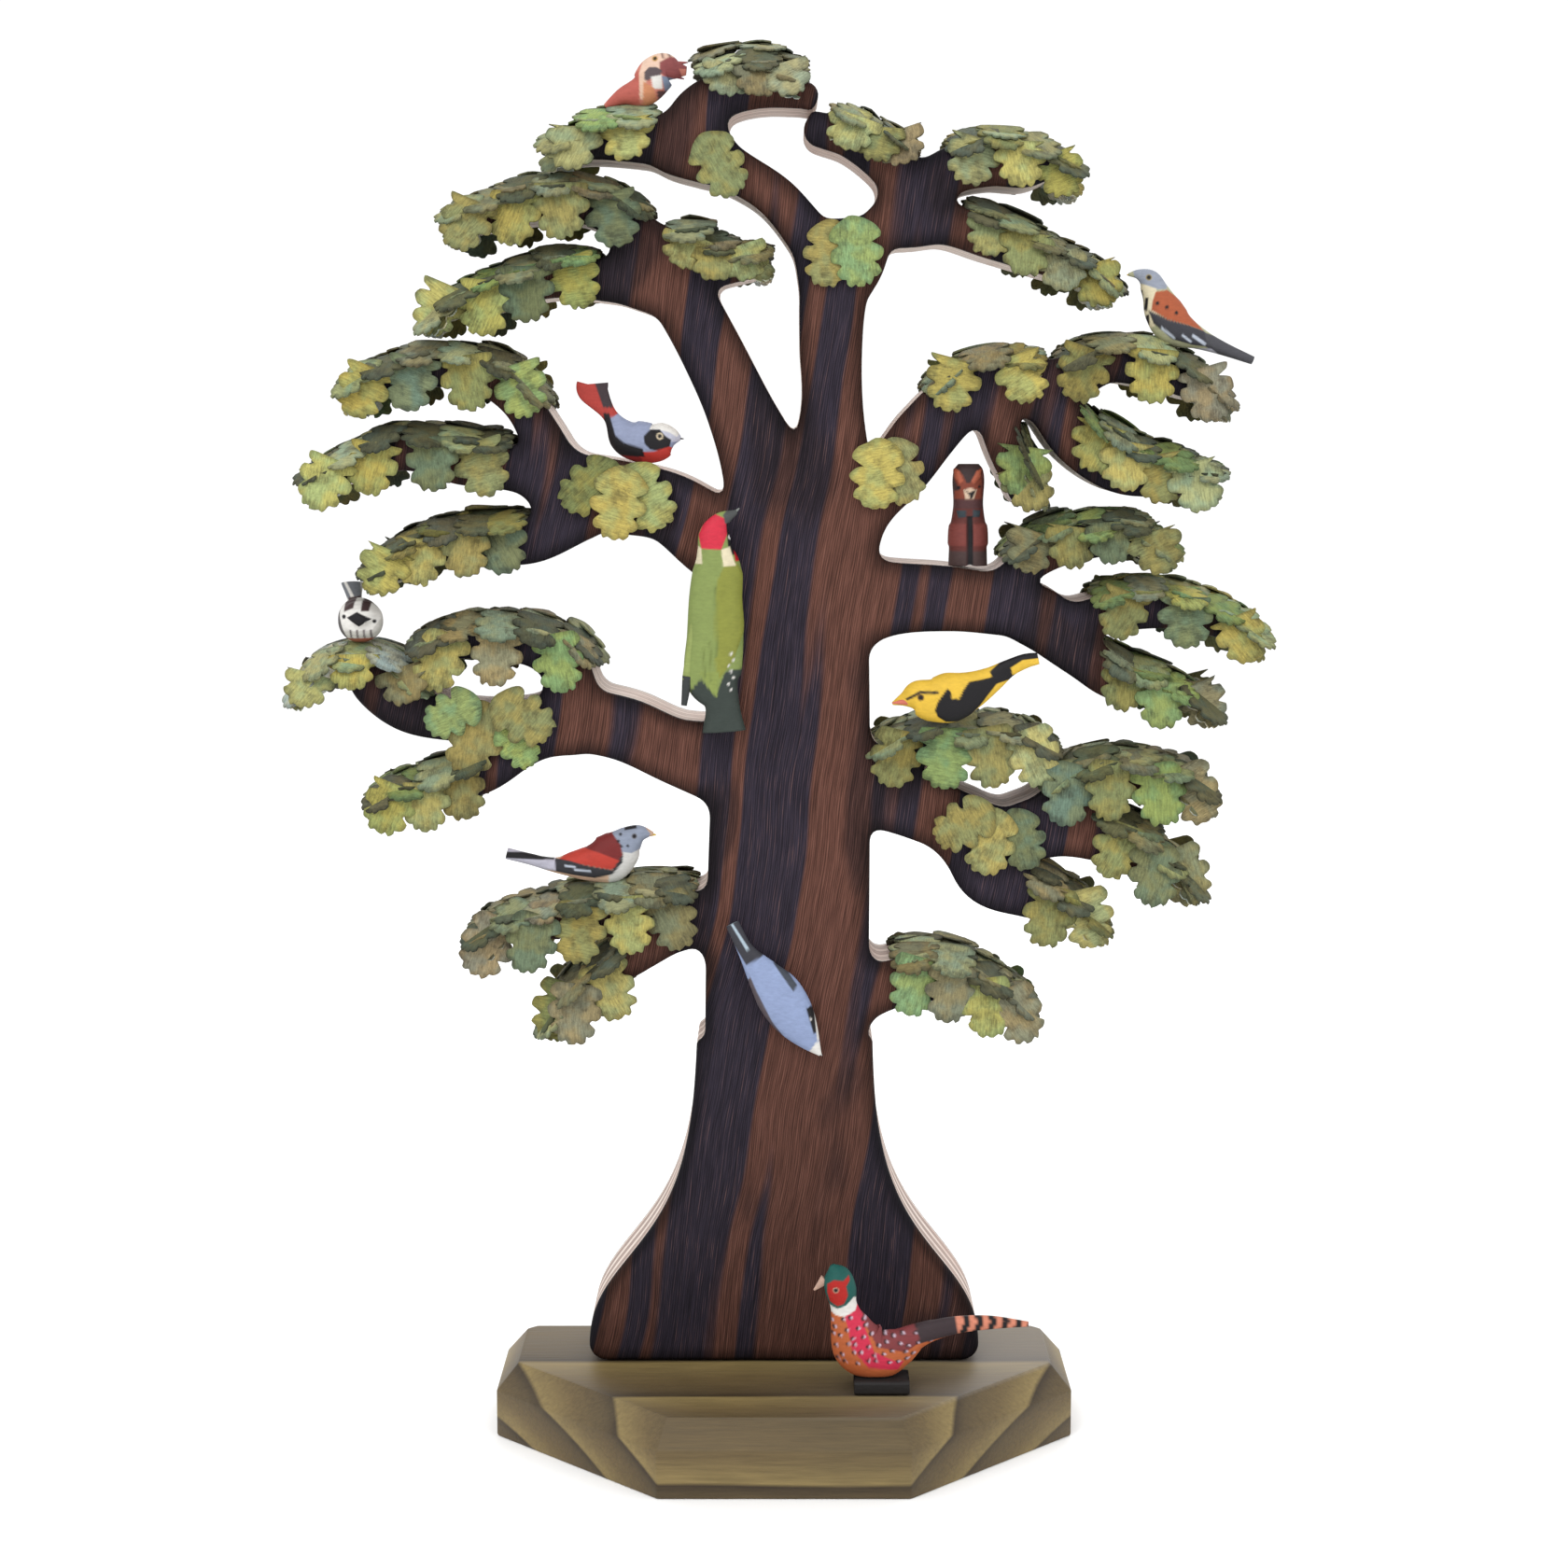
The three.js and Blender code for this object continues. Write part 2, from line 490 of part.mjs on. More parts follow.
const FIGURES = {
  jay: [
    [-0.47, 0.02, 0.03, 0.03], [-0.26, 0.14, 0.1, 0.09], [-0.02, 0.21, 0.19, 0.13],
    [0.13, 0.38, 0.22, 0.14], [0.24, 0.46, 0.18, 0.12], [0.38, 0.44, 0.1, 0.07],
    [0.49, 0.43, 0.05, 0.02],
  ],
  fieldfare: [
    [0.66, -0.12, 0.03, 0.04], [0.43, -0.03, 0.05, 0.05], [0.26, 0.04, 0.08, 0.08],
    [0.09, 0.12, 0.14, 0.1], [0, 0.24, 0.14, 0.1], [-0.06, 0.37, 0.1, 0.08], [-0.11, 0.46, 0.08, 0.07],
    [-0.18, 0.5, 0.04, 0.03], [-0.26, 0.5, 0.01, 0.01],
  ],
  redstart: [
    [-0.5, 0.71, 0.15, 0.03], [-0.34, 0.46, 0.07, 0.04], [-0.21, 0.26, 0.16, 0.1],
    [-0.07, 0.2, 0.19, 0.13], [0.07, 0.19, 0.18, 0.13], [0.17, 0.23, 0.15, 0.1],
    [0.24, 0.24, 0.09, 0.07], [0.31, 0.23, 0.02, 0.02],
  ],
  green_woodpecker: [
    [0.01, 0, 0.1, 0.05], [0, 0.13, 0.08, 0.05], [-0.04, 0.25, 0.13, 0.06], [-0.03, 0.44, 0.13, 0.07],
    [-0.03, 0.61, 0.12, 0.07], [-0.02, 0.75, 0.11, 0.07], [-0.03, 0.84, 0.08, 0.06],
    [-0.03, 0.91, 0.07, 0.05], [0, 0.97, 0.04, 0.03], [0.07, 1.01, 0.01, 0.01],
  ],
  tit: [
    [-0.55, 0.86, 0.05, 0.17], [-0.36, 0.6, 0.09, 0.12], [-0.16, 0.4, 0.3, 0.28],
    [0.1, 0.33, 0.33, 0.33], [0.3, 0.36, 0.28, 0.31], [0.42, 0.38, 0.17, 0.2], [0.5, 0.36, 0.05, 0.05],
  ],
  golden_oriole: [
    [0.62, 0.44, 0.04, 0.03], [0.53, 0.42, 0.05, 0.04], [0.42, 0.37, 0.06, 0.04],
    [0.3, 0.29, 0.09, 0.06], [0.17, 0.22, 0.13, 0.09], [0.03, 0.17, 0.17, 0.11],
    [-0.1, 0.15, 0.15, 0.1], [-0.21, 0.17, 0.11, 0.08], [-0.29, 0.15, 0.05, 0.04],
    [-0.37, 0.12, 0.01, 0.01],
  ],
  linnet: [
    [-0.64, 0.21, 0.04, 0.04], [-0.48, 0.17, 0.04, 0.04], [-0.32, 0.13, 0.05, 0.05],
    [-0.18, 0.13, 0.09, 0.08], [-0.05, 0.14, 0.13, 0.1], [0.06, 0.17, 0.17, 0.1],
    [0.15, 0.24, 0.15, 0.1], [0.22, 0.31, 0.1, 0.08], [0.29, 0.35, 0.06, 0.05],
    [0.38, 0.35, 0.01, 0.01],
  ],
  nuthatch: [
    [-0.26, 0.41, 0.04, 0.02], [-0.18, 0.25, 0.05, 0.03], [-0.08, 0.11, 0.1, 0.05],
    [0.01, -0.01, 0.14, 0.07], [0.1, -0.15, 0.13, 0.07], [0.18, -0.27, 0.08, 0.05],
    [0.26, -0.38, 0.01, 0.01],
  ],
  pheasant: [
    [0.72, 0.26, 0.01, 0.01], [0.54, 0.27, 0.02, 0.02], [0.37, 0.25, 0.03, 0.03],
    [0.22, 0.21, 0.05, 0.04], [0.12, 0.15, 0.09, 0.06], [0.03, 0.12, 0.12, 0.08],
    [-0.06, 0.16, 0.13, 0.08], [-0.11, 0.26, 0.09, 0.07], [-0.14, 0.36, 0.06, 0.05],
    [-0.18, 0.43, 0.06, 0.05], [-0.27, 0.41, 0.01, 0.01],
  ],
  squirrel: [
    [0, 0, 0.19, 0.16], [0, 0.15, 0.18, 0.18], [0, 0.34, 0.18, 0.16], [0, 0.52, 0.16, 0.14],
    [0, 0.66, 0.14, 0.15], [0, 0.81, 0.14, 0.14], [0, 0.92, 0.12, 0.08],
  ],
  squirrel_tail: [
    [0.1, 0.05, 0.07, 0.09], [0.2, 0.4, 0.1, 0.12], [0.2, 0.8, 0.09, 0.1], [0.16, 0.93, 0.04, 0.05],
  ],
};

// The dome of leaves under the tit follows its own line over the end of its limb
const TIT_PERCH = [[-27.6, 54.1, 0], [-29.9, 55.8, 0], [-32.9, 56.8, 0], [-35.8, 56, 0], [-38.6, 53.4, 0]];

const SPRAYS = {
  spray_crown: { on: 'crown', from: 0.42, drop: 0.55, ridge: 1.9 },
  spray_jay_perch: { on: 'jay_branch', from: 0.3, over: 0.3, drop: 0.8 },
  spray_crown_right: { on: 'crown_right', from: 0.25, to: 0.86, over: 0.1, drop: 0.7 },
  spray_ear: { on: 'ear', from: 0.3, over: 0.6, drop: 0.9 },
  spray_arm_right: { on: 'arm_right', from: 0.48, over: 0.9, drop: 0.8 },
  spray_arm_left: { on: 'arm_left', from: 0.3, over: 0.4, drop: 1 },
  spray_elbow_left: { on: 'elbow_left', from: 0.4, over: 1, drop: 1 },
  spray_knob: { on: 'knob', from: 0.2, over: 0.2, drop: 0.65, ridge: 0.3 },
  spray_mid_left_top: { on: 'mid_left_top', from: 0.33, over: 0.6, drop: 1 },
  spray_mid_left_mid: { on: 'mid_left_mid', from: 0.28, over: 0.4, drop: 1 },
  spray_mid_left_low: { on: 'mid_left_low', from: 0.28, over: 0.3, drop: 0.9 },
  spray_tit_perch: { path: TIT_PERCH, drop: 0.7, ridge: 0.16 },
  spray_low_left_top: { on: 'low_left_top', from: 0.2, over: 0.45, drop: 1.15 },
  spray_low_left_down: { on: 'low_left_down', from: 0.5, over: 0.4, drop: 0.95 },
  spray_linnet_perch: { on: 'foot_left', from: 0.36, over: 0.75, drop: 1.3 },
  spray_foot_left_down: { on: 'foot_left_down', from: 0.35, over: 0.6, drop: 1.1 },
  spray_high_right: { on: 'high_right_out', from: 0, to: 0.38, drop: 0.95 },
  spray_fieldfare_perch: { on: 'high_right_out', from: 0.46, over: 0.6, drop: 1 },
  spray_high_right_drop: { on: 'high_right_drop', from: 0.3, over: 0.3, drop: 0.9 },
  spray_high_right_low: { on: 'high_right_low', from: 0.16, over: 0.3, drop: 0.9 },
  spray_mid_right_top: { on: 'mid_right_top', from: 0.16, over: 0.1, drop: 0.8 },
  spray_mid_right: { on: 'mid_right', from: 0.66, over: 0.55, drop: 0.95 },
  spray_mid_right_low: { on: 'mid_right_low', from: 0.5, over: 0.9, drop: 0.9 },
  spray_oriole_perch: { on: 'low_right_twig', from: 0.1, over: 0.6, drop: 1.1 },
  spray_low_right: { on: 'low_right', from: 0.68, over: 0.8, drop: 1.2 },
  spray_low_right_mid: { on: 'low_right_mid', from: 0.4, over: 0.7, drop: 1.1 },
  spray_low_right_down: { on: 'low_right_down', from: 0.66, over: 0.6, drop: 1.1 },
  spray_foot_right: { on: 'foot_right', from: 0.38, over: 0.45, drop: 1.1 },
};

// Leaves glued on the board's face: [across, up, turn in degrees, size] of each one's middle
const ROSETTES = {
  leaves_bow: [[-4.9, 93.9, 29, 1.25]],
  leaves_fork: [[3.4, 87.2, -9, 1.2], [5.5, 87.5, 7, 1.25]],
  leaves_mid_left: [[-11.1, 69.3, 27, 1.3], [-14.5, 70.2, -55, 1.2], [-12.7, 69, -8, 1.3]],
  leaves_low_left: [[-23.5, 51.2, -16, 1.1], [-20.7, 49.9, 34, 1], [-25.7, 52.2, -60, 1.1],
    [-20.3, 51.9, 60, 1.25]],
  leaves_high_right: [[8.8, 70.9, 18, 1.2], [7.2, 70.7, -5, 1.25]],
  leaves_low_right: [[18.5, 42.3, 17, 1.15], [16.1, 42.2, -11, 1.25], [14.1, 43.6, -59, 1.2]],
};

const group = new THREE.Group();

function addMesh(name, geometry, colour, roughness = 0.6) {
  const material = new THREE.MeshStandardMaterial({ color: colour, roughness, metalness: 0 });
  const mesh = new THREE.Mesh(geometry, material);
  mesh.name = name;
  group.add(mesh);
  return mesh;
}

addMesh('plinth', plinthGeometry(), 0x8f8a5e);
const tree = addMesh('tree', weld(boardGeometry()), 0x3d2a26);
tree.rotation.x = Math.PI / 2;
tree.position.set(0, BOARD_BACK, FOOT_LEVEL);

const GREENS = [0x7c8a52, 0x9aa35a, 0x5f7657, 0x86905c, 0x6d7c66];
Object.entries(SPRAYS).forEach(([name, spray], index) => {
  const mesh = addMesh(name, sprayGeometry(spray), GREENS[index % GREENS.length], 0.7);
  mesh.position.z = FOOT_LEVEL;
});
Object.entries(ROSETTES).forEach(([name, leaves], index) => {
  const mesh = addMesh(name, rosetteGeometry(leaves), GREENS[(index + 1) % GREENS.length], 0.7);
  mesh.position.z = FOOT_LEVEL;
});

// Where a facet is tried, as shares of its two sides: its corners and points between them
const SETTLE_STEPS = 4;
const SETTLE_SHARES = [];
for (let i = 0; i <= SETTLE_STEPS; i++) {
  for (let j = 0; j <= SETTLE_STEPS - i; j++) SETTLE_SHARES.push([i / SETTLE_STEPS, j / SETTLE_STEPS]);
}

// Lower a figure until it stands one glue line above what carries it
function settle(figure, support) {
  figure.updateMatrixWorld(true);
  support.updateMatrixWorld(true);
  const caster = new THREE.Raycaster();
  const fall = (from, onto, direction) => {
    const under = new THREE.Box3().setFromObject(onto);
    under.min.z = -Infinity;
    under.max.z = Infinity;
    const position = from.geometry.attributes.position;
    const index = from.geometry.index;
    const corner = (k) => {
      return new THREE.Vector3().fromBufferAttribute(position, index.getX(k)).applyMatrix4(from.matrixWorld);
    };
    let gap = Infinity;
    for (let i = 0; i < index.count; i += 3) {
      const [a, b, c] = [corner(i), corner(i + 1), corner(i + 2)];
      for (const [s, t] of SETTLE_SHARES) {
        const point = a.clone().addScaledVector(b.clone().sub(a), s).addScaledVector(c.clone().sub(a), t);
        if (!under.containsPoint(point)) continue;
        caster.set(point, direction);
        const hit = caster.intersectObject(onto)[0];
        if (hit) gap = Math.min(gap, hit.distance);
      }
    }
    return gap;
  };
  const below = fall(figure, support, new THREE.Vector3(0, 0, -1));
  const above = fall(support, figure, new THREE.Vector3(0, 0, 1));
  figure.position.z -= Math.min(below, above) - GLUE_LINE;
}

// Put a figure on its perch, so far across in hundredths of the tree's height. It is let down from
// over the perch's own top, or over the limb's top where it stands on the wood itself.
function stand(figure, length, across, perch, { turn = 0, setback = PERCH_SETBACK, limbTop } = {}) {
  const support = group.getObjectByName(perch);
  const top = limbTop ? FOOT_LEVEL + limbTop * U : new THREE.Box3().setFromObject(support).max.z;
  figure.rotation.z = THREE.MathUtils.degToRad(turn);
  figure.position.set(across * U, BOARD_FRONT + setback, top + length / 4);
  settle(figure, support);
}

function addPerched(name, length, across, colour, perch, options) {
  const figure = addMesh(name, figureGeometry(length, FIGURES[name]), colour, 0.5);
  stand(figure, length, across, perch, options);
}

// Glue a figure by its breast on the face of the trunk
function addClinging(name, length, place, colour) {
  const deepest = Math.max(...FIGURES[name].map((section) => section[3])) * length;
  const figure = addMesh(name, figureGeometry(length, FIGURES[name]), colour, 0.5);
  figure.position.set(place[0] * U, BOARD_FRONT - GLUE_LINE - deepest, FOOT_LEVEL + place[1] * U);
}

const ORIOLE_POSE = { turn: ORIOLE_TURN, setback: -ORIOLE_OVERHANG };
addPerched('jay', JAY_LENGTH, -10.6, 0xb98a80, 'spray_jay_perch');
addPerched('fieldfare', FIELDFARE_LENGTH, 29.2, 0xa8683f, 'spray_fieldfare_perch');
addPerched('redstart', REDSTART_LENGTH, -10.6, 0x9c5a48, 'tree', { limbTop: 71.3 });
addPerched('tit', TIT_LENGTH, -33.2, 0xb9b6a4, 'spray_tit_perch', { turn: TIT_TURN });
addPerched('golden_oriole', ORIOLE_LENGTH, 12.6, 0xd8b13a, 'spray_oriole_perch', ORIOLE_POSE);
addPerched('linnet', LINNET_LENGTH, -14.6, 0x9b3a34, 'spray_linnet_perch');
addClinging('green_woodpecker', WOODPECKER_HEIGHT, [-4.8, 50.9], 0x5f7050);
addClinging('nuthatch', NUTHATCH_LENGTH, [-0.6, 30.3], 0x6f7f90);

// The pheasant is sunk a little in the block that it stands on, which reaches ahead of its feet
const PHEASANT_PLACE = 6.9;
const PHEASANT_SINK = 1;

function pheasantGeometry() {
  const block = new THREE.BoxGeometry(FOOT_BLOCK_LENGTH, FOOT_BLOCK_WIDTH, FOOT_BLOCK_HEIGHT);
  block.translate(FOOT_BLOCK_LENGTH / 6, 0, FOOT_BLOCK_HEIGHT / 2);
  const bird = figureGeometry(PHEASANT_LENGTH, FIGURES.pheasant);
  return join([block, bird.translate(0, 0, FOOT_BLOCK_HEIGHT - PHEASANT_SINK)]);
}

const pheasant = addMesh('pheasant', pheasantGeometry(), 0x8d3b35, 0.5);
pheasant.position.set(PHEASANT_PLACE * U, PLINTH_FRONT + PHEASANT_SETBACK, FOOT_LEVEL);

// The squirrel sits upright with its tail up its back. Its two ears are sized and placed in shares
// of its height.
const EAR = { radius: 0.06, height: 0.13, aside: 0.08, up: 0.93, sides: 4 };

function squirrelGeometry() {
  const size = SQUIRREL_HEIGHT;
  const ears = [-1, 1].map((side) => {
    const ear = new THREE.ConeGeometry(EAR.radius * size, EAR.height * size, EAR.sides).rotateX(Math.PI / 2);
    return ear.translate(side * EAR.aside * size, 0, EAR.up * size);
  });
  const tail = figureGeometry(size, FIGURES.squirrel_tail).rotateZ(Math.PI / 2);
  return join([figureGeometry(size, FIGURES.squirrel), ...ears, tail]);
}

const squirrel = addMesh('squirrel', squirrelGeometry(), 0x7a5a48, 0.5);
stand(squirrel, SQUIRREL_HEIGHT, 14.3, 'tree', { limbTop: 63.6 });

export default group;
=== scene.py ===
"""Looks of the bird tree: its sawn board, plinth, veneer leaves and painted figures, in metres.

Lengths in the classes are millimetres, and the limbs are drawn in hundredths of the tree's height.
"""
import logging
import math
import random
from dataclasses import dataclass, field
from enum import Enum
from typing import Any, Iterable, Sequence

import bpy
import numpy as np
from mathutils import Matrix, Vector
from mathutils.geometry import delaunay_2d_cdt


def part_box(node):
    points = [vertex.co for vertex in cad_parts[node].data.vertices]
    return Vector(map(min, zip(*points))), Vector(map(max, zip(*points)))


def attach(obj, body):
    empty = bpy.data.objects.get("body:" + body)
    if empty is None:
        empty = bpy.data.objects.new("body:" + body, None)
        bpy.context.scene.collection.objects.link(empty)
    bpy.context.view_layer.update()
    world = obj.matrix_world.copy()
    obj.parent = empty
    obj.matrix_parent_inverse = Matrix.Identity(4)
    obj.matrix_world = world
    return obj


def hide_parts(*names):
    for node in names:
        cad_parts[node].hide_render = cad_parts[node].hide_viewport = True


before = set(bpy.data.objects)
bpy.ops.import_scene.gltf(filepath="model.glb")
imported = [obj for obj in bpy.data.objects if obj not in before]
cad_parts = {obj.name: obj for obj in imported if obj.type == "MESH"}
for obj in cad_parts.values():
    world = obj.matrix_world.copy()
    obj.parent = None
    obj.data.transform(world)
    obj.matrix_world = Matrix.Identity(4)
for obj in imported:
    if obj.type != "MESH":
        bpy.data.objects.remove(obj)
log = logging.getLogger("bird_tree")

Triple = tuple[float, float, float]
Section = tuple[float, float, float, float]
Face = tuple[int, ...]
Room = tuple[np.ndarray, np.ndarray]

MM = 0.001
TREE_HEIGHT = 370.0
U = TREE_HEIGHT / 100
BOARD_FRONT = 6.4
BOARD_BACK = 36.4
FOOT_LEVEL = 22.0
ROOT_BODY = "root"

LIMBS: dict[str, list[Triple]] = {
    "trunk": [(0.1, 20, 6.4), (0.3, 35, 6.4), (0.6, 50, 6.1), (1, 61, 5.5), (1.8, 67, 4.3)],
    "stem": [(2.3, 61.2, 5.1), (3.4, 68.4, 3.6), (3.7, 75.5, 2.4), (3.6, 80.4, 2.4), (3.8, 84.3, 2.6),
        (4.5, 86.8, 3)],
    "bow": [(3.8, 86.4, 2.6), (2, 88.6, 1.8), (-0.5, 91.5, 1.6), (-3.2, 93.3, 1.6), (-5.9, 94.6, 1.9),
        (-8.1, 95.1, 1.7)],
    "jay_branch": [(-6.4, 95.5, 2.3), (-9.9, 95.8, 1.8), (-14.1, 95.7, 1.3), (-16.6, 95.1, 0.8)],
    "crown": [(-7.4, 95.8, 2.1), (-6.5, 97.8, 2), (-4.6, 99.2, 1.7), (-1.8, 99.6, 1.4), (1.6, 99.2, 1)],
    "fork": [(4.6, 86.9, 2.6), (7, 88.9, 1.7), (9.4, 91.3, 1.8)],
    "crown_right": [(9.8, 92, 2.1), (7.9, 94.1, 1.7), (5.3, 96, 1.6), (2.8, 96.6, 1.3)],
    "ear": [(10.3, 91.5, 2), (12.6, 93.5, 1.8), (15.6, 94.2, 1.8), (18.1, 93.9, 1.6), (19.5, 93.7, 1)],
    "arm_right": [(9.6, 89.9, 2.1), (12.4, 89.6, 1.6), (16, 88.4, 1.5), (22.1, 85.9, 0.8)],
    "great_left": [(-0.1, 64.1, 4.3), (-1.4, 70.5, 3.3), (-3.4, 75.5, 2.6), (-5.5, 79.9, 2.4),
        (-7.5, 83.6, 2.4), (-9.1, 86.4, 2.7)],
    "arm_left": [(-9.6, 86.1, 2.7), (-11.6, 88.9, 1.9), (-13.8, 90.5, 1.4), (-17.7, 91.2, 1.3),
        (-23.8, 89.9, 0.8)],
    "elbow_left": [(-8.9, 85.4, 2.5), (-13.2, 85.4, 1.7), (-17.8, 85.4, 1.4), (-23.1, 83.8, 0.9)],
    "knob": [(-10.7, 86.1, 2.4), (-7.8, 86.3, 2), (-5, 86.3, 1.4), (-2.5, 86.4, 0.9)],
    "mid_left": [(-0.7, 64.1, 3.6), (-4.7, 65.3, 3.2), (-8.8, 68, 2.7), (-12.9, 68.9, 2.8),
        (-16.9, 69.6, 2.7)],
    "mid_left_top": [(-17.4, 70.1, 2.2), (-18.8, 73.7, 1.6), (-20.5, 76.3, 1.4), (-23.2, 78, 1.3),
        (-27.1, 78.5, 1.2), (-31.1, 77.6, 0.8)],
    "mid_left_mid": [(-16.9, 69.8, 1.8), (-20.8, 71, 1.7), (-24.8, 71.4, 1.6), (-29.4, 72.2, 1.3),
        (-35, 70.3, 0.8)],
    "mid_left_low": [(-16.2, 67.6, 2.3), (-19.4, 65.5, 1.7), (-23, 65, 1.4), (-26.6, 64.8, 1.2),
        (-30.6, 63, 0.8)],
    "low_left": [(0.7, 45.9, 4.4), (-3.6, 47.8, 3.5), (-8.4, 49.1, 2.6), (-12.3, 50.8, 2.5),
        (-16.3, 51.7, 2.5)],
    "low_left_top": [(-16.5, 52.1, 2.3), (-17, 55.4, 1.9), (-19.2, 57, 1.4), (-22.8, 57.6, 1.3),
        (-26.4, 57.2, 0.8)],
    "low_left_out": [(-16.7, 51.4, 2.2), (-21.1, 51.3, 1.5), (-25.4, 51.4, 1.5), (-29.2, 52.5, 1.9),
        (-31.9, 54.3, 1.7), (-32.9, 55.7, 1)],
    "low_left_down": [(-17.4, 51.1, 1.9), (-20.3, 49.4, 1.5), (-23.3, 47.2, 1.3), (-27.3, 45.7, 1.1),
        (-30.2, 45.1, 0.8)],
    "foot_left": [(-0.7, 34, 4.4), (-5.1, 35.5, 2.6), (-9.5, 35.9, 2), (-14.6, 35.9, 1.5),
        (-21.3, 34.8, 0.8)],
    "foot_left_down": [(-9.2, 34.8, 1.8), (-12.1, 32.5, 1.3), (-14.7, 30.7, 1), (-16.5, 28.8, 0.8)],
    "high_right": [(2.9, 65.5, 3.6), (6.5, 68.7, 2.4), (9, 71.2, 2.4), (11.1, 73.9, 2.4),
        (13.5, 76.1, 2.1), (17.2, 77.4, 2)],
    "high_right_out": [(12.2, 75.3, 1.7), (15.7, 77.3, 2), (19.3, 77.4, 1.9), (22.2, 78, 1.7),
        (25, 79, 1.4), (28.6, 78.5, 1.4), (31.5, 77.1, 0.8)],
    "high_right_drop": [(16.1, 76.2, 1.6), (17.1, 72.6, 1.4), (18.3, 69.1, 0.9)],
    "high_right_low": [(20.4, 76.2, 1.9), (22.7, 73.2, 2), (25.8, 71.1, 1.9), (29.1, 70.3, 1.4),
        (32, 69.9, 0.8)],
    "mid_right": [(2.9, 60.4, 4.3), (7.9, 61, 2.9), (13, 61, 2.5), (17.7, 60.3, 2.2), (21.7, 59.2, 1.5),
        (26, 60, 1.5), (30.3, 60, 1.3), (34.7, 58.6, 0.8)],
    "mid_right_top": [(17.4, 62, 1.5), (19.2, 63.9, 1.4), (22.2, 65.2, 1.4), (26.3, 65.6, 1.2),
        (29.2, 64.2, 0.8)],
    "mid_right_low": [(19.9, 59.4, 2.3), (23.2, 56.6, 1.8), (25.9, 54.6, 1.5), (29.7, 53.4, 0.8)],
    "low_right": [(2.9, 47.3, 4.4), (7.3, 45.9, 2.9), (11.7, 44.3, 2.6), (15.3, 42.3, 2.4),
        (19.7, 43.1, 2.2), (22.6, 45.7, 1.7), (26.2, 47, 1.4), (29.8, 46.5, 0.8)],
    "low_right_twig": [(6.9, 47.2, 1.7), (10.9, 49.4, 1.2), (14.9, 50, 0.9), (18.2, 49.5, 0.8)],
    "low_right_mid": [(19.7, 42.9, 2), (23.3, 42.7, 2), (27, 41.3, 1.5), (29.6, 39.6, 0.8)],
    "low_right_down": [(14.6, 42.9, 2.5), (15.9, 39.4, 2.3), (19, 37.8, 1.8), (22.3, 36.3, 0.8)],
    "foot_right": [(2.2, 29.9, 4.4), (7, 30.3, 2.2), (10.7, 31, 1.8), (14.3, 30.4, 1.3), (17.3, 29, 0.8)],
}


class Wood(Enum):
    """Which finish a face of the board takes."""

    STAINED = 0
    LAYERS = 1


class Leaf(Enum):
    """The paints of the leaves, in linear red, green and blue."""

    OLIVE = (0.225, 0.205, 0.075)
    YELLOW = (0.335, 0.305, 0.100)
    MOSS = (0.330, 0.315, 0.130)
    GREEN = (0.205, 0.270, 0.105)
    BLUE = (0.128, 0.152, 0.090)
    TAUPE = (0.225, 0.200, 0.115)
    SAGE = (0.270, 0.285, 0.165)
    # painted shade: a darkened green that stands in for top-row leaves lying in shadow
    SHADE_GREEN = (0.105, 0.108, 0.066)
    PALE = (0.430, 0.425, 0.370)


LEAF_LETTERS = dict(zip("OYMGBTSDP", Leaf))


class Socket:
    """One output of a node, which takes part in sums, products and powers as a number."""

    def __init__(self, graph: "Graph", link: bpy.types.NodeSocket) -> None:
        """Keep the socket."""
        self.graph = graph
        self.link = link

    def maths(self, operation: str, other: Any = 0.0, reflected: bool = False) -> "Socket":
        """One Math node on this number and another, which comes first where it is reflected."""
        values = {0: other, 1: self} if reflected else {0: self, 1: other}
        return self.graph.read("ShaderNodeMath", {"operation": operation}, values)

    def __add__(self, other: Any) -> "Socket":
        """Sum."""
        return self.maths("ADD", other)

    def __radd__(self, other: Any) -> "Socket":
        """Sum, reflected."""
        return self.maths("ADD", other, True)

    def __sub__(self, other: Any) -> "Socket":
        """Difference."""
        return self.maths("SUBTRACT", other)

    def __rsub__(self, other: Any) -> "Socket":
        """Difference, reflected."""
        return self.maths("SUBTRACT", other, True)

    def __mul__(self, other: Any) -> "Socket":
        """Product."""
        return self.maths("MULTIPLY", other)

    def __rmul__(self, other: Any) -> "Socket":
        """Product, reflected."""
        return self.maths("MULTIPLY", other, True)

    def __pow__(self, other: Any) -> "Socket":
        """Power."""
        return self.maths("POWER", other)

    def share(self, low: float, high: float) -> "Socket":
        """How far this number is from low to high, smoothly, from 0 to 1."""
        values = {0: self, 1: low, 2: high, 3: 0.0, 4: 1.0}
        return self.graph.read("ShaderNodeMapRange", {"interpolation_type": "SMOOTHSTEP"}, values)


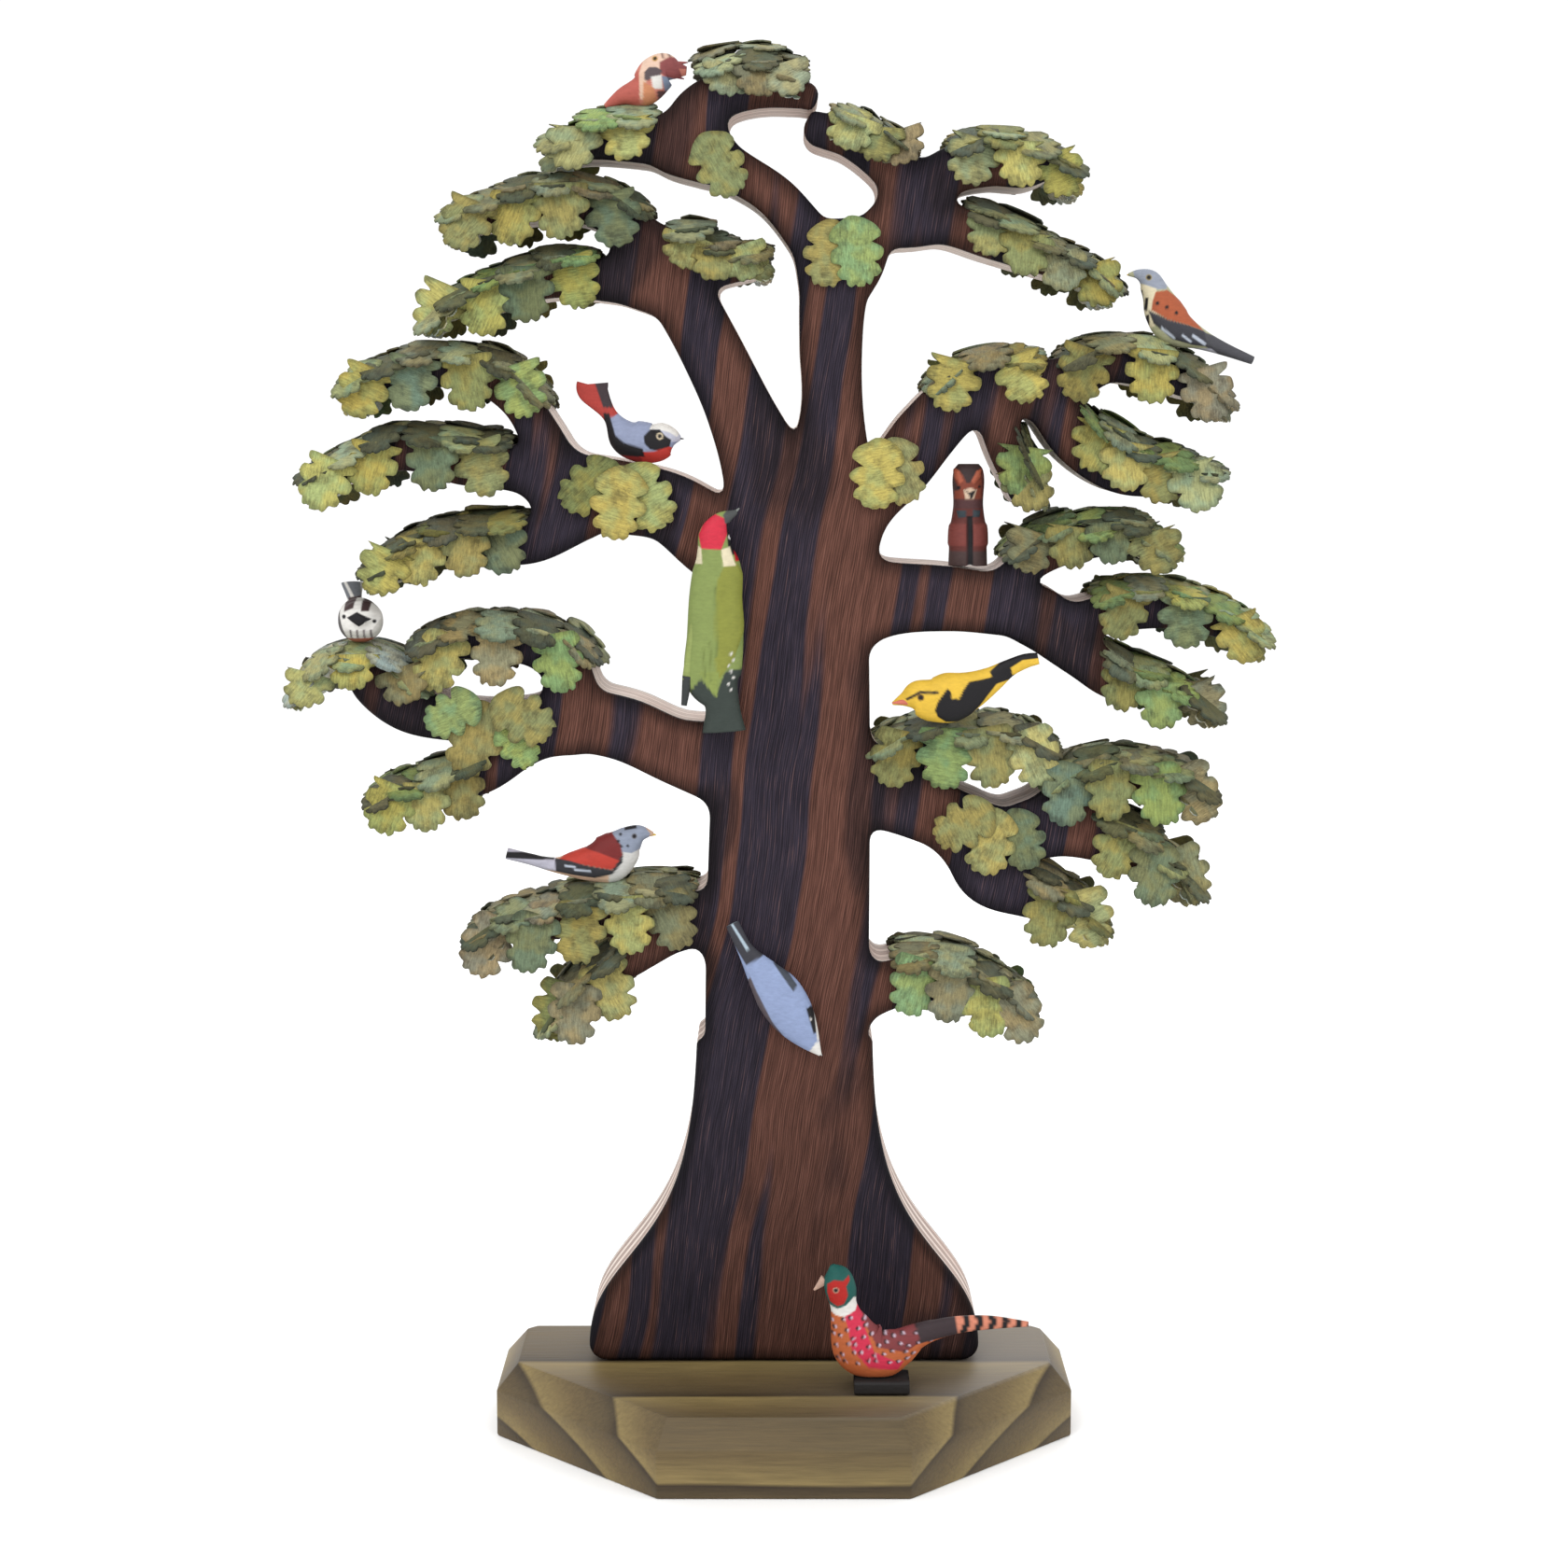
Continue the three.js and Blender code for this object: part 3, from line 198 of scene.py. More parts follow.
class Graph:
    """A material's node graph with its shader and output in place."""

    def __init__(self, name: str, gloss: float = 0.5) -> None:
        """Make the material.

        Args:
            name: The material's name.
            gloss: How much its surface mirrors.
        """
        self.material = bpy.data.materials.new(name)
        self.material.use_nodes = True
        self.tree = self.material.node_tree
        self.tree.nodes.clear()
        self.shader = self.node("ShaderNodeBsdfPrincipled", {}, {"Specular IOR Level": gloss})
        output = self.node("ShaderNodeOutputMaterial", {}, {})
        self.tree.links.new(self.shader.outputs[0], output.inputs[0])

    def node(self, kind: str, settings: dict[str, Any], sockets: dict[Any, Any]) -> bpy.types.Node:
        """Add one node, its settings first.

        Args:
            kind: The node's type.
            settings: Attributes to set; "stops" fills a colour ramp with (place, colour) pairs.
            sockets: Value or Socket of each input, by name or number.

        Returns:
            The node.
        """
        node = self.tree.nodes.new(kind)
        for name, value in settings.items():
            if name == "stops":
                self.fill_ramp(node, value)
            else:
                setattr(node, name, value)
        for name, value in sockets.items():
            self.feed(node.inputs[name], value)
        return node

    def read(self, kind: str, settings: dict[str, Any], sockets: dict[Any, Any],
             output: int | str = 0) -> Socket:
        """Add one node and take one of its outputs, by name or number."""
        return Socket(self, self.node(kind, settings, sockets).outputs[output])

    @staticmethod
    def fill_ramp(node: bpy.types.Node, stops: Sequence[tuple[float, Sequence[float]]]) -> None:
        """Give a colour ramp its stops.

        Args:
            node: The ramp's node.
            stops: Place and colour of each stop.
        """
        elements = node.color_ramp.elements
        while len(elements) < len(stops):
            elements.new(1.0)
        for element, (place, colour) in zip(elements, stops):
            element.position = place
            element.color = (*colour, 1.0)

    def feed(self, entry: bpy.types.NodeSocket, value: Any) -> None:
        """Link a Socket to an input, or set the input's number or colour.

        Args:
            entry: The input.
            value: What it takes.
        """
        if isinstance(value, Socket):
            self.tree.links.new(value.link, entry)
        elif isinstance(value, tuple) and len(value) == 3 and entry.type == "RGBA":
            entry.default_value = (*value, 1.0)
        else:
            entry.default_value = value

    def place(self) -> Socket:
        """The point's place on the object, in metres."""
        return self.read("ShaderNodeTexCoord", {}, {}, "Object")

    def axes(self, vector: Socket) -> tuple[Socket, Socket, Socket]:
        """The three numbers of a vector."""
        outputs = self.node("ShaderNodeSeparateXYZ", {}, {0: vector}).outputs
        return Socket(self, outputs[0]), Socket(self, outputs[1]), Socket(self, outputs[2])

    def vector(self, x: Any, y: Any, z: Any) -> Socket:
        """Three numbers joined in a vector."""
        return self.read("ShaderNodeCombineXYZ", {}, {0: x, 1: y, 2: z})

    def noise(self, vector: Socket, scale: float, detail: float = 2.0, rough: float = 0.5) -> Socket:
        """Soft noise from 0 to 1; detail counts its finer layers, and rough is their strength."""
        sockets = {"Vector": vector, "Scale": scale, "Detail": detail, "Roughness": rough}
        return self.read("ShaderNodeTexNoise", {}, sockets)

    def grain(self, axes: Sequence[Socket], scales: Sequence[float], detail: float = 2.0,
              rough: float = 0.5) -> Socket:
        """Noise with a scale of its own along each axis, finer where it is larger."""
        stretched = [axis * scale for axis, scale in zip(axes, scales)]
        return self.noise(self.vector(*stretched), 1.0, detail, rough)

    def ramp(self, factor: Socket, stops: Sequence[tuple[float, Sequence[float]]]) -> Socket:
        """Colour from a number, by the place and colour of each stop."""
        return self.read("ShaderNodeValToRGB", {"stops": stops}, {0: factor})

    def mix(self, factor: Any, first: Any, second: Any, blend: str = "MIX") -> Socket:
        """Two colours mixed by a factor, in the way that the name of the blend says."""
        settings = {"data_type": "RGBA", "blend_type": blend}
        return self.read("ShaderNodeMix", settings, {0: factor, 6: first, 7: second}, 2)

    def shaded(self, colour: Any, value: Socket) -> Socket:
        """A colour made darker or lighter by what it is multiplied by."""
        return self.mix(1.0, colour, self.vector(value, value, value), "MULTIPLY")

    def attribute(self, name: str) -> tuple[Socket, Socket]:
        """A mesh's own attribute, as a colour or vector and as a number."""
        node = self.node("ShaderNodeAttribute", {"attribute_name": name}, {})
        return Socket(self, node.outputs["Color"]), Socket(self, node.outputs["Fac"])

    def finish(self, colour: Any, roughness: Any, height: Socket | None, depth: float) -> bpy.types.Material:
        """Feed the shader.

        Args:
            colour: Base colour.
            roughness: Roughness.
            height: Height of the fine relief, from 0 to 1, where it has any.
            depth: How deep the relief is, in metres.

        Returns:
            The finished material.
        """
        self.feed(self.shader.inputs["Base Color"], colour)
        self.feed(self.shader.inputs["Roughness"], roughness)
        if height is not None:
            relief = {"Strength": 1.0, "Distance": depth, "Height": height}
            self.feed(self.shader.inputs["Normal"], self.read("ShaderNodeBump", {}, relief))
        return self.material


@dataclass(frozen=True)
class StainedWood:
    """The board's face: combed grain under reddish-brown and blue-black stain, darker at its edges.

    Stripe and comb are millimetres across the grain, and lean is how far the grain leans sideways
    as a share of its height.
    """

    brown: Triple = (0.094, 0.040, 0.029)
    blue: Triple = (0.024, 0.019, 0.029)
    dark: Triple = (0.014, 0.009, 0.011)
    pale: Triple = (0.215, 0.110, 0.082)
    stripe: float = 14.0
    comb: float = 0.62
    lean: float = 0.16
    gloss: float = 0.08
    relief: float = 0.00034

    def material(self) -> bpy.types.Material:
        """The finish, as a material."""
        g = Graph("stained_wood", self.gloss)
        x, y, z = g.axes(g.place())
        wander = g.grain((x, y, z), (11.0, 2.0, 9.0))
        across = x - z * self.lean + (wander - 0.5) * 0.016
        stripes = g.grain((across, y, z), (1000 / self.stripe, 8.0, 3.4), 1.0)
        fibres = g.grain((across, y, z), (1100 / self.comb, 300.0, 60.0), 3.0, 0.75)
        broad = g.grain((across, y, z), (420.0, 120.0, 22.0), 3.0, 0.65)
        patches = g.noise(g.vector(x * 1.2, y, z * 0.5), 24.0, 2.0, 0.5)
        turn = across * (2000 * math.pi / self.comb) + broad * 17.0
        ridges = turn.maths("SINE") * 0.5 + 0.5
        stain = g.mix(stripes.share(0.475, 0.525), self.brown, self.blue)
        stain = g.mix(patches.share(0.54, 0.60) * 0.62, stain, self.dark)
        combed = ridges * 0.20 + fibres * 0.80
        rim = g.attribute("edge")[1].share(0.2, 5.5)
        low = z.share(0.02, 0.16)
        tone = (0.14 + combed.share(0.28, 0.72) * 0.98 + broad * 0.62) * (0.34 + rim * 0.66)
        colour = g.shaded(stain, tone * (0.70 + low * 0.30))
        colour = g.mix(combed.share(0.58, 0.80) * 0.42 * rim, colour, self.pale)
        return g.finish(colour, 0.44 + fibres * 0.25, combed, self.relief)


@dataclass(frozen=True)
class LayeredEdge:
    """The board's bare sawn edge: pale glued layers with thin brown lines between them."""

    plies: int = 7
    pale: Triple = (0.70, 0.60, 0.54)
    brown: Triple = (0.17, 0.095, 0.072)
    line: Triple = (0.19, 0.10, 0.07)
    cloudy: Triple = (0.52, 0.36, 0.30)
    relief: float = 0.0003

    def material(self) -> bpy.types.Material:
        """The finish, as a material."""
        g = Graph("layered_edge")
        x, y, z = g.axes(g.place())
        wander = g.noise(g.vector(x, y * 0.2, z), 40.0, 2.0) * 0.0008
        layer = (y + wander - BOARD_FRONT * MM) * (self.plies / ((BOARD_BACK - BOARD_FRONT) * MM))
        seam = (layer.maths("FRACT") - 0.5).maths("ABSOLUTE").share(0.40, 0.49)
        parity = (layer * 0.5).maths("FRACT").share(0.48, 0.52)
        saw = g.grain((x, y, z), (300.0, 1500.0, 300.0), 3.0, 0.7)
        cloud = g.noise(g.vector(x, y, z), 70.0, 3.0, 0.6)
        foot = 1 - z.share(0.07, 0.22)
        wood = g.mix(parity * (foot * 0.48 + 0.22), self.pale, self.brown)
        wood = g.mix(cloud.share(0.45, 0.75) * 0.5, wood, self.cloudy)
        colour = g.shaded(g.mix(seam * 0.85, wood, self.line), 0.72 + saw * 0.5)
        return g.finish(colour, 0.72, saw, self.relief)


@dataclass(frozen=True)
class PlinthWood:
    """The plinth: olive-stained softwood whose wide growth rings run out at the front and top, with a painted
    sheen on the right of its top.

    The rings' heart lies behind and under the block, in millimetres from its middle.
    """

    light: Triple = (0.215, 0.158, 0.062)
    middle: Triple = (0.122, 0.085, 0.036)
    dark: Triple = (0.036, 0.024, 0.013)
    late: Triple = (0.072, 0.050, 0.024)
    cloudy: Triple = (0.092, 0.068, 0.032)
    # painted sheen: pale grey laid over the right part of the top face as if lit
    painted_sheen: Triple = (0.22, 0.20, 0.18)
    heart_back: float = 47.0
    heart_under: float = 99.0
    ring: float = 13.2
    first: float = 113.3
    gloss: float = 0.28
    relief: float = 0.00012

    def material(self) -> bpy.types.Material:
        """The finish, as a material."""
        g = Graph("plinth_wood", self.gloss)
        x, y, z = g.axes(g.place())
        wander = g.grain((x, y, z), (6.0, 10.0, 10.0))
        back = y - self.heart_back * MM
        up = z + self.heart_under * MM
        radius = (back * back + up * up) ** 0.5 + (wander - 0.5) * 0.004
        turn = (radius - self.first * MM) * (1000 / self.ring)
        year = turn.maths("FRACT")
        fine = g.grain((x, y, z), (60.0, 1100.0, 1100.0), 3.0, 0.7)
        cloud = g.grain((x, y, z), (22.0, 60.0, 60.0), 3.0, 0.6)
        bands = g.ramp(year, ((0.0, self.dark), (0.06, self.light), (0.45, self.middle),
                              (0.86, self.late), (1.0, self.dark)))
        colour = g.mix(cloud.share(0.40, 0.75) * 0.35, bands, self.cloudy)
        # painted sheen: the right part of the top face is mixed towards pale grey, standing in for light on
        # it
        sheen_top_right = x.share(-0.02, 0.09) * z.share(0.0205, 0.0215)
        colour = g.mix(sheen_top_right * 0.35, colour, self.painted_sheen)
        colour = g.shaded(colour, 0.56 + fine * 0.84)
        return g.finish(colour, 0.38 + fine * 0.22, fine, self.relief)


@dataclass(frozen=True)
class LeafPaint:
    """The leaves' finish: each leaf's own paint over fine veneer grain."""

    name: str
    warm: Triple = (1.08, 1.02, 0.84)
    cool: Triple = (0.84, 0.99, 1.08)
    gloss: float = 0.2
    relief: float = 0.00020

    def material(self) -> bpy.types.Material:
        """The finish, as a material."""
        g = Graph(self.name, self.gloss)
        paint = g.attribute("paint")[0]
        u, v, seed = g.axes(g.attribute("leaf")[0])
        streak = g.grain((u, v, seed), (2.2, 0.35, 7.0), 4.0, 0.7).share(0.30, 0.70)
        speckle = g.grain((u, v, seed), (1.7, 2.1, 5.0), 3.0, 0.7)
        cloud = g.noise(g.vector(u, v, seed * 9.0), 0.16, 2.0, 0.5)
        smudge = g.noise(g.vector(u, v, seed * 4.0), 0.22, 4.0, 0.65)
        warm = g.mix(1.0, paint, self.warm, "MULTIPLY")
        cool = g.mix(1.0, paint, self.cool, "MULTIPLY")
        colour = g.mix(cloud.share(0.40, 0.62), warm, cool)
        colour = g.mix(smudge.share(0.46, 0.68) * 0.72, colour, g.shaded(paint, streak * 0.25 + 0.30))
        colour = g.shaded(colour, 0.48 + streak * 0.48 + speckle * 0.58)
        return g.finish(colour, 0.62 + streak * 0.2, streak * 0.5 + speckle * 0.5, self.relief)


@dataclass(frozen=True)
class FigurePaint:
    """The figures' finish: hand-laid paint with faint brush marks."""

    name: str
    roughness: float = 0.48
    gloss: float = 0.2
    relief: float = 0.00010

    def material(self) -> bpy.types.Material:
        """The finish, as a material."""
        g = Graph(self.name, self.gloss)
        paint = g.attribute("paint")[0]
        x, y, z = g.axes(g.place())
        brush = g.grain((x, y, z), (500.0, 500.0, 1400.0), 3.0, 0.65)
        cloud = g.noise(g.vector(x, y, z), 260.0, 2.0, 0.5)
        colour = g.shaded(paint, 0.54 + brush * 0.34 + cloud * 0.14)
        return g.finish(colour, self.roughness + brush * 0.18, brush, self.relief)


@dataclass
class Clay:
    """Points and faces gathered for one piece, with what its finish reads at each point."""

    points: list[np.ndarray] = field(default_factory=list)
    faces: list[Face] = field(default_factory=list)
    skins: list[int] = field(default_factory=list)
    marks: dict[str, list[np.ndarray]] = field(default_factory=dict)
    count: int = 0

    def add(self, points: np.ndarray, faces: Iterable[Sequence[int]], skin: int = 0,
            **marks: np.ndarray) -> None:
        """Add a shell.

        Args:
            points: Its points in millimetres, one row each.
            faces: Its faces, as numbers of its own points.
            skin: Which of the piece's materials it takes.
            marks: What the finish reads, one row for each point.
        """
        start = self.count
        self.points.append(points)
        self.bind([tuple(int(i) + start for i in face) for face in faces], skin)
        for name, rows in marks.items():
            self.marks.setdefault(name, []).append(rows)
        self.count += len(points)

    def bind(self, faces: Sequence[Face], skin: int = 0) -> None:
        """Add faces between points that are there already, all in one of the piece's materials."""
        self.faces += faces
        self.skins += [skin] * len(faces)

    def piece(self, name: str, node: str, slot: str, materials: Sequence[bpy.types.Material],
              crease: float | None = None) -> bpy.types.Object:
        """Make the object, and let it stand for its CAD node.

        Args:
            name: The piece's name.
            node: The CAD node that it replaces.
            slot: The record's material slot; not used.
            materials: Its materials, in the order of its skins.
            crease: Angle in degrees above which an edge is sharp.

        Returns:
            The object.
        """
        mesh = bpy.data.meshes.new(name)
        mesh.from_pydata((np.vstack(self.points) * MM).tolist(), [], self.faces)
        for material in materials:
            mesh.materials.append(material)
        mesh.polygons.foreach_set("material_index", self.skins)
        mesh.polygons.foreach_set("use_smooth", [True] * len(self.faces))
        if crease is not None:
            mesh.set_sharp_from_angle(angle=math.radians(crease))
        for mark, rows in self.marks.items():
            values = np.concatenate(rows).astype(np.float32)
            kind, key = ("FLOAT", "value") if values.ndim == 1 else ("FLOAT_VECTOR", "vector")
            attribute = mesh.attributes.new(mark, kind, "POINT")
            attribute.data.foreach_set(key, values.ravel())
        piece = bpy.data.objects.new(name, mesh)
        bpy.context.scene.collection.objects.link(piece)
        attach(piece, ROOT_BODY)
        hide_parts(node)
        log.info("%s: %d points, %d faces", name, self.count, len(self.faces))
        return piece


def band(first: Sequence[int], second: Sequence[int]) -> list[Face]:
    """Faces between two rings, given by their points' numbers."""
    ahead = [*range(1, len(first)), 0]
    return [(first[i], first[k], second[k], second[i]) for i, k in enumerate(ahead)]


def unit(rows: np.ndarray) -> np.ndarray:
    """Vectors brought to length one, a single one or one in each row."""
    return rows / np.linalg.norm(rows, axis=-1, keepdims=True)


def upright(ahead: np.ndarray) -> np.ndarray:
    """The direction square to another, both across and up, that points up."""
    normal = np.array([-ahead[1], ahead[0]])
    return normal if normal[1] >= 0 else -normal


def flow(knots: np.ndarray, steps: int) -> np.ndarray:
    """Run a smooth line through rows of numbers.

    Args:
        knots: The rows that it passes through.
        steps: How many steps lie between two of them.

    Returns:
        The line's rows.
    """
    padded = np.vstack([2 * knots[0] - knots[1], knots, 2 * knots[-1] - knots[-2]])
    rows = []
    for i in range(len(knots) - 1):
        before, start, end, after = padded[i:i + 4]
        for t in np.arange(steps) / steps:
            pull, push = (end - before) / 2, (after - start) / 2
            cubic = 2 * start - 2 * end + pull + push
            square = 3 * end - 3 * start - 2 * pull - push
            rows.append(start + t * (pull + t * (square + t * cubic)))
    rows.append(knots[-1])
    return np.array(rows)


@dataclass
class Plan:
    """The board's sawn outline as a field: how far each point of a fine grid lies outside it.

    Places and distances are millimetres, the foot's sizes hundredths of the tree's height.
    """

    left: float = -158.0
    bottom: float = -8.0
    width: float = 312.0
    height: float = 404.0
    step: float = 0.9
    reach: float = 14.0
    blend: float = 1.08
    foot_half: float = 15.6
    foot_waist: float = 6.4
    foot_rise: float = 10.3
    foot_sharpness: float = 3.2
    foot_top: float = 26.0
    foot_round: float = 1.35
    limb_steps: int = 9
    least_loop: float = 8.0

    def __post_init__(self) -> None:
        """Work out the field and the limbs' middle lines."""
        self.low = np.array([self.left, self.bottom])
        shape = (int(self.width / self.step), int(self.height / self.step))
        self.field = self.foot(*self.grid(shape, (0, 0)))
        self.lines = {name: flow(np.array(points) * U, self.limb_steps) for name, points in LIMBS.items()}
        for line in self.lines.values():
            self.join(line)

    def grid(self, shape: tuple[int, int], start: tuple[int, int]) -> tuple[np.ndarray, np.ndarray]:
        """Places of a window of the grid.

        Args:
            shape: The window's columns and rows.
            start: Its first column and row.

        Returns:
            Across and up of each of its points.
        """
        columns = self.low[0] + (np.arange(shape[0]) + start[0]) * self.step
        rows = self.low[1] + (np.arange(shape[1]) + start[1]) * self.step
        return np.meshgrid(columns, rows, indexing="ij")

    def foot(self, x: np.ndarray, z: np.ndarray) -> np.ndarray:
        """How far points lie outside the trunk's foot.

        Args:
            x: Across.
            z: Up.

        Returns:
            The distances.
        """
        spread = 1 + (np.maximum(z, 0) / (self.foot_rise * U)) ** self.foot_sharpness
        half = (self.foot_waist + (self.foot_half - self.foot_waist) / spread) * U
        side = np.abs(x) - half
        radius = self.foot_round * U
        corner = np.hypot(np.maximum(side + radius, 0), np.maximum(radius - z, 0)) - radius
        body = np.where(z < radius, np.maximum(corner, side), side)
        return np.maximum(np.maximum(body, z - self.foot_top * U), -z)

    def join(self, line: np.ndarray) -> None:
        """Blend one limb into the field.

        Args:
            line: The limb's middle line, with its half width as the third number.
        """
        first = np.floor((line[:, :2].min(0) - line[:, 2].max() - self.reach - self.low) / self.step)
        last = np.ceil((line[:, :2].max(0) + line[:, 2].max() + self.reach - self.low) / self.step)
        i, j = np.maximum(first, 0).astype(int)
        m, n = np.minimum(last, np.array(self.field.shape)).astype(int)
        x, z = self.grid((m - i, n - j), (i, j))
        away = np.full(x.shape, self.reach)
        for a, b in zip(line[:-1], line[1:]):
            run = b[:2] - a[:2]
            t = np.clip(((x - a[0]) * run[0] + (z - a[1]) * run[1]) / (run @ run), 0, 1)
            gap = np.hypot(x - a[0] - t * run[0], z - a[1] - t * run[1]) - (a[2] + t * (b[2] - a[2]))
            away = np.minimum(away, gap)
        window = self.field[i:m, j:n]
        blend = self.blend * U
        h = np.clip(0.5 + 0.5 * (away - window) / blend, 0, 1)
        self.field[i:m, j:n] = away + (window - away) * h - blend * h * (1 - h)

    def distance(self, x: np.ndarray, z: np.ndarray) -> np.ndarray:
        """Read the field.

        Args:
            x: Across.
            z: Up from the foot.

        Returns:
            How far each point lies outside the board.
        """
        u = np.clip((x - self.low[0]) / self.step, 0, self.field.shape[0] - 1.001)
        v = np.clip((z - self.low[1]) / self.step, 0, self.field.shape[1] - 1.001)
        i, j = np.floor(u).astype(int), np.floor(v).astype(int)
        s, t = u - i, v - j
        left = self.field[i, j] * (1 - t) + self.field[i, j + 1] * t
        right = self.field[i + 1, j] * (1 - t) + self.field[i + 1, j + 1] * t
        return left * (1 - s) + right * s

    def loops(self, spacing: float) -> list[np.ndarray]:
        """Walk the outline's closed loops, the wood on their left.

        Args:
            spacing: Distance between the points that are kept.

        Returns:
            The loops.
        """
        inside = self.field < 0
        mixed = inside[:-1, :-1].astype(int) + inside[1:, :-1] + inside[1:, 1:] + inside[:-1, 1:]
        links: dict[tuple[int, int, bool], tuple[int, int, bool]] = {}
        for i, j in zip(*np.nonzero((mixed > 0) & (mixed < 4))):
            corners = [inside[i, j], inside[i + 1, j], inside[i + 1, j + 1], inside[i, j + 1]]
            sides = [(i, j, False), (i + 1, j, True), (i, j + 1, False), (i, j, True)]
            for side in range(4):
                if corners[side] and not corners[(side + 1) % 4]:
                    entry = (side + 3) % 4
                    while corners[entry] or not corners[(entry + 1) % 4]:
                        entry = (entry + 3) % 4
                    links[sides[side]] = sides[entry]
        found = []
        while links:
            key, walk = next(iter(links)), []
            while key in links:
                walk.append(self.crossing(*key))
                key = links.pop(key)
            loop = np.array(walk)
            ends = np.vstack([loop, loop[:1]])
            travel = np.concatenate([[0], np.cumsum(np.hypot(*np.diff(ends, axis=0).T))])
            if travel[-1] > self.least_loop * U:
                at = np.linspace(0, travel[-1], int(travel[-1] / spacing), endpoint=False)
                found.append(np.stack([np.interp(at, travel, ends[:, k]) for k in (0, 1)], 1))
        return found

    def crossing(self, i: int, j: int, rising: bool) -> np.ndarray:
        """Where the outline crosses one side of the grid.

        Args:
            i: The side's column.
            j: Its row.
            rising: Whether the side runs up.

        Returns:
            The point.
        """
        a = self.field[i, j]
        b = self.field[i, j + 1] if rising else self.field[i + 1, j]
        t = a / (a - b)
        place = np.array([i, j + t]) if rising else np.array([i + t, j])
        return self.low + place * self.step


@dataclass
class Board:
    """The tree: one thick glued board sawn to its outline, its edges rounded over."""

    plan: Plan
    edge: float = 1.6
    spacing: float = 1.15
    mesh_step: float = 3.4
    stain_wrap: float = 2.3
    rounding: int = 4
    half_width: float = 150.0
    lowest: float = 2.0
    highest: float = 380.0
    row_pitch: float = 0.866
    rim_gap: float = 0.45
    slack: float = 0.01
    weld: float = 1e-5
    crease: float = 50.0

    def build(self, materials: Sequence[bpy.types.Material]) -> bpy.types.Object:
        """Build the board.

        Args:
            materials: The stained finish and the bare edge's.

        Returns:
            The piece.
        """
        clay = Clay()
        loops = self.plan.loops(self.spacing)
        outline = np.vstack(loops)
        inward = np.vstack([self.inward(loop) for loop in loops])
        starts = np.cumsum([0] + [len(loop) for loop in loops])
        rings = self.rows()
        count = len(outline)
        points, depth = [], []
        for inset, y in rings:
            flat = outline + inward * inset
            points.append(np.stack([flat[:, 0], np.full(count, y), flat[:, 1] + FOOT_LEVEL], 1))
            depth.append(np.full(count, inset))
        clay.add(np.vstack(points), [], edge=np.concatenate(depth))
        for ring in range(len(rings) - 1):
            y0, y1 = rings[ring][1], rings[ring + 1][1]
            bare = min(y0 - BOARD_FRONT, BOARD_BACK - y1) > self.stain_wrap - self.slack
            skin = Wood.LAYERS if bare else Wood.STAINED
            for a, b in zip(starts[:-1], starts[1:]):
                first = list(range(ring * count + a, ring * count + b))
                clay.bind(band([i + count for i in first], first), skin.value)
        self.face(clay, loops, outline + inward * self.edge, 0, False)
        self.face(clay, loops, outline + inward * self.edge, (len(rings) - 1) * count, True)
        return clay.piece("tree_board", "tree", "tree", materials, self.crease)

    def rows(self) -> list[tuple[float, float]]:
        """Inset and place of each ring, from the front face round to the back.

        Returns:
            The rings.
        """
        turns = [math.pi / 2 * k / self.rounding for k in range(self.rounding, -1, -1)]
        curve = [(self.edge * (1 - math.cos(a)), self.edge * (1 - math.sin(a))) for a in turns]
        front = [(inset, BOARD_FRONT + y) for inset, y in curve]
        back = [(inset, BOARD_BACK - y) for inset, y in reversed(curve)]
        wrap = [(0.0, BOARD_FRONT + self.stain_wrap), (0.0, BOARD_BACK - self.stain_wrap)]
        return front + wrap + back

    @staticmethod
    def inward(loop: np.ndarray) -> np.ndarray:
        """Directions into the wood, one for each of a loop's points."""
        along = unit(sum(np.roll(loop, -k, 0) - np.roll(loop, k, 0) for k in (1, 2)))
        return np.stack([-along[:, 1], along[:, 0]], 1)

    def face(self, clay: Clay, loops: Sequence[np.ndarray], rim: np.ndarray, first: int,
             back: bool) -> None:
        """Fill the front or the back with even triangles.

        Args:
            clay: The piece.
            loops: The outline's loops.
            rim: Where the face meets the rounded edge.
            first: Number of the rim's first point.
            back: Whether it is the back.
        """
        step = self.mesh_step
        columns = np.arange(-self.half_width, self.half_width, step)
        x, z = np.meshgrid(columns, np.arange(self.lowest, self.highest, step * self.row_pitch))
        x = x + (np.arange(x.shape[0]) % 2)[:, None] * step / 2
        away = self.plan.distance(x, z)
        keep = away < -self.edge - step * self.rim_gap
        inner = np.stack([x[keep], z[keep]], 1)
        flat = np.vstack([rim, inner])
        edges, start = [], 0
        for loop in loops:
            edges += [(start + i, start + (i + 1) % len(loop)) for i in range(len(loop))]
            start += len(loop)
        _, _, faces, origins, _, _ = delaunay_2d_cdt([Vector(p) for p in flat], edges, [], 0,
                                                      self.weld)
        kept = self.inside([tuple(origins[i][0] for i in face) for face in faces], edges)
        y = BOARD_BACK if back else BOARD_FRONT
        start = clay.count
        clay.add(np.stack([inner[:, 0], np.full(len(inner), y), inner[:, 1] + FOOT_LEVEL], 1), [],
                 edge=-away[keep])
        for triangle in kept:
            numbers = tuple(first + i if i < len(rim) else start + i - len(rim) for i in triangle)
            clay.bind([numbers[::-1] if back else numbers], Wood.STAINED.value)

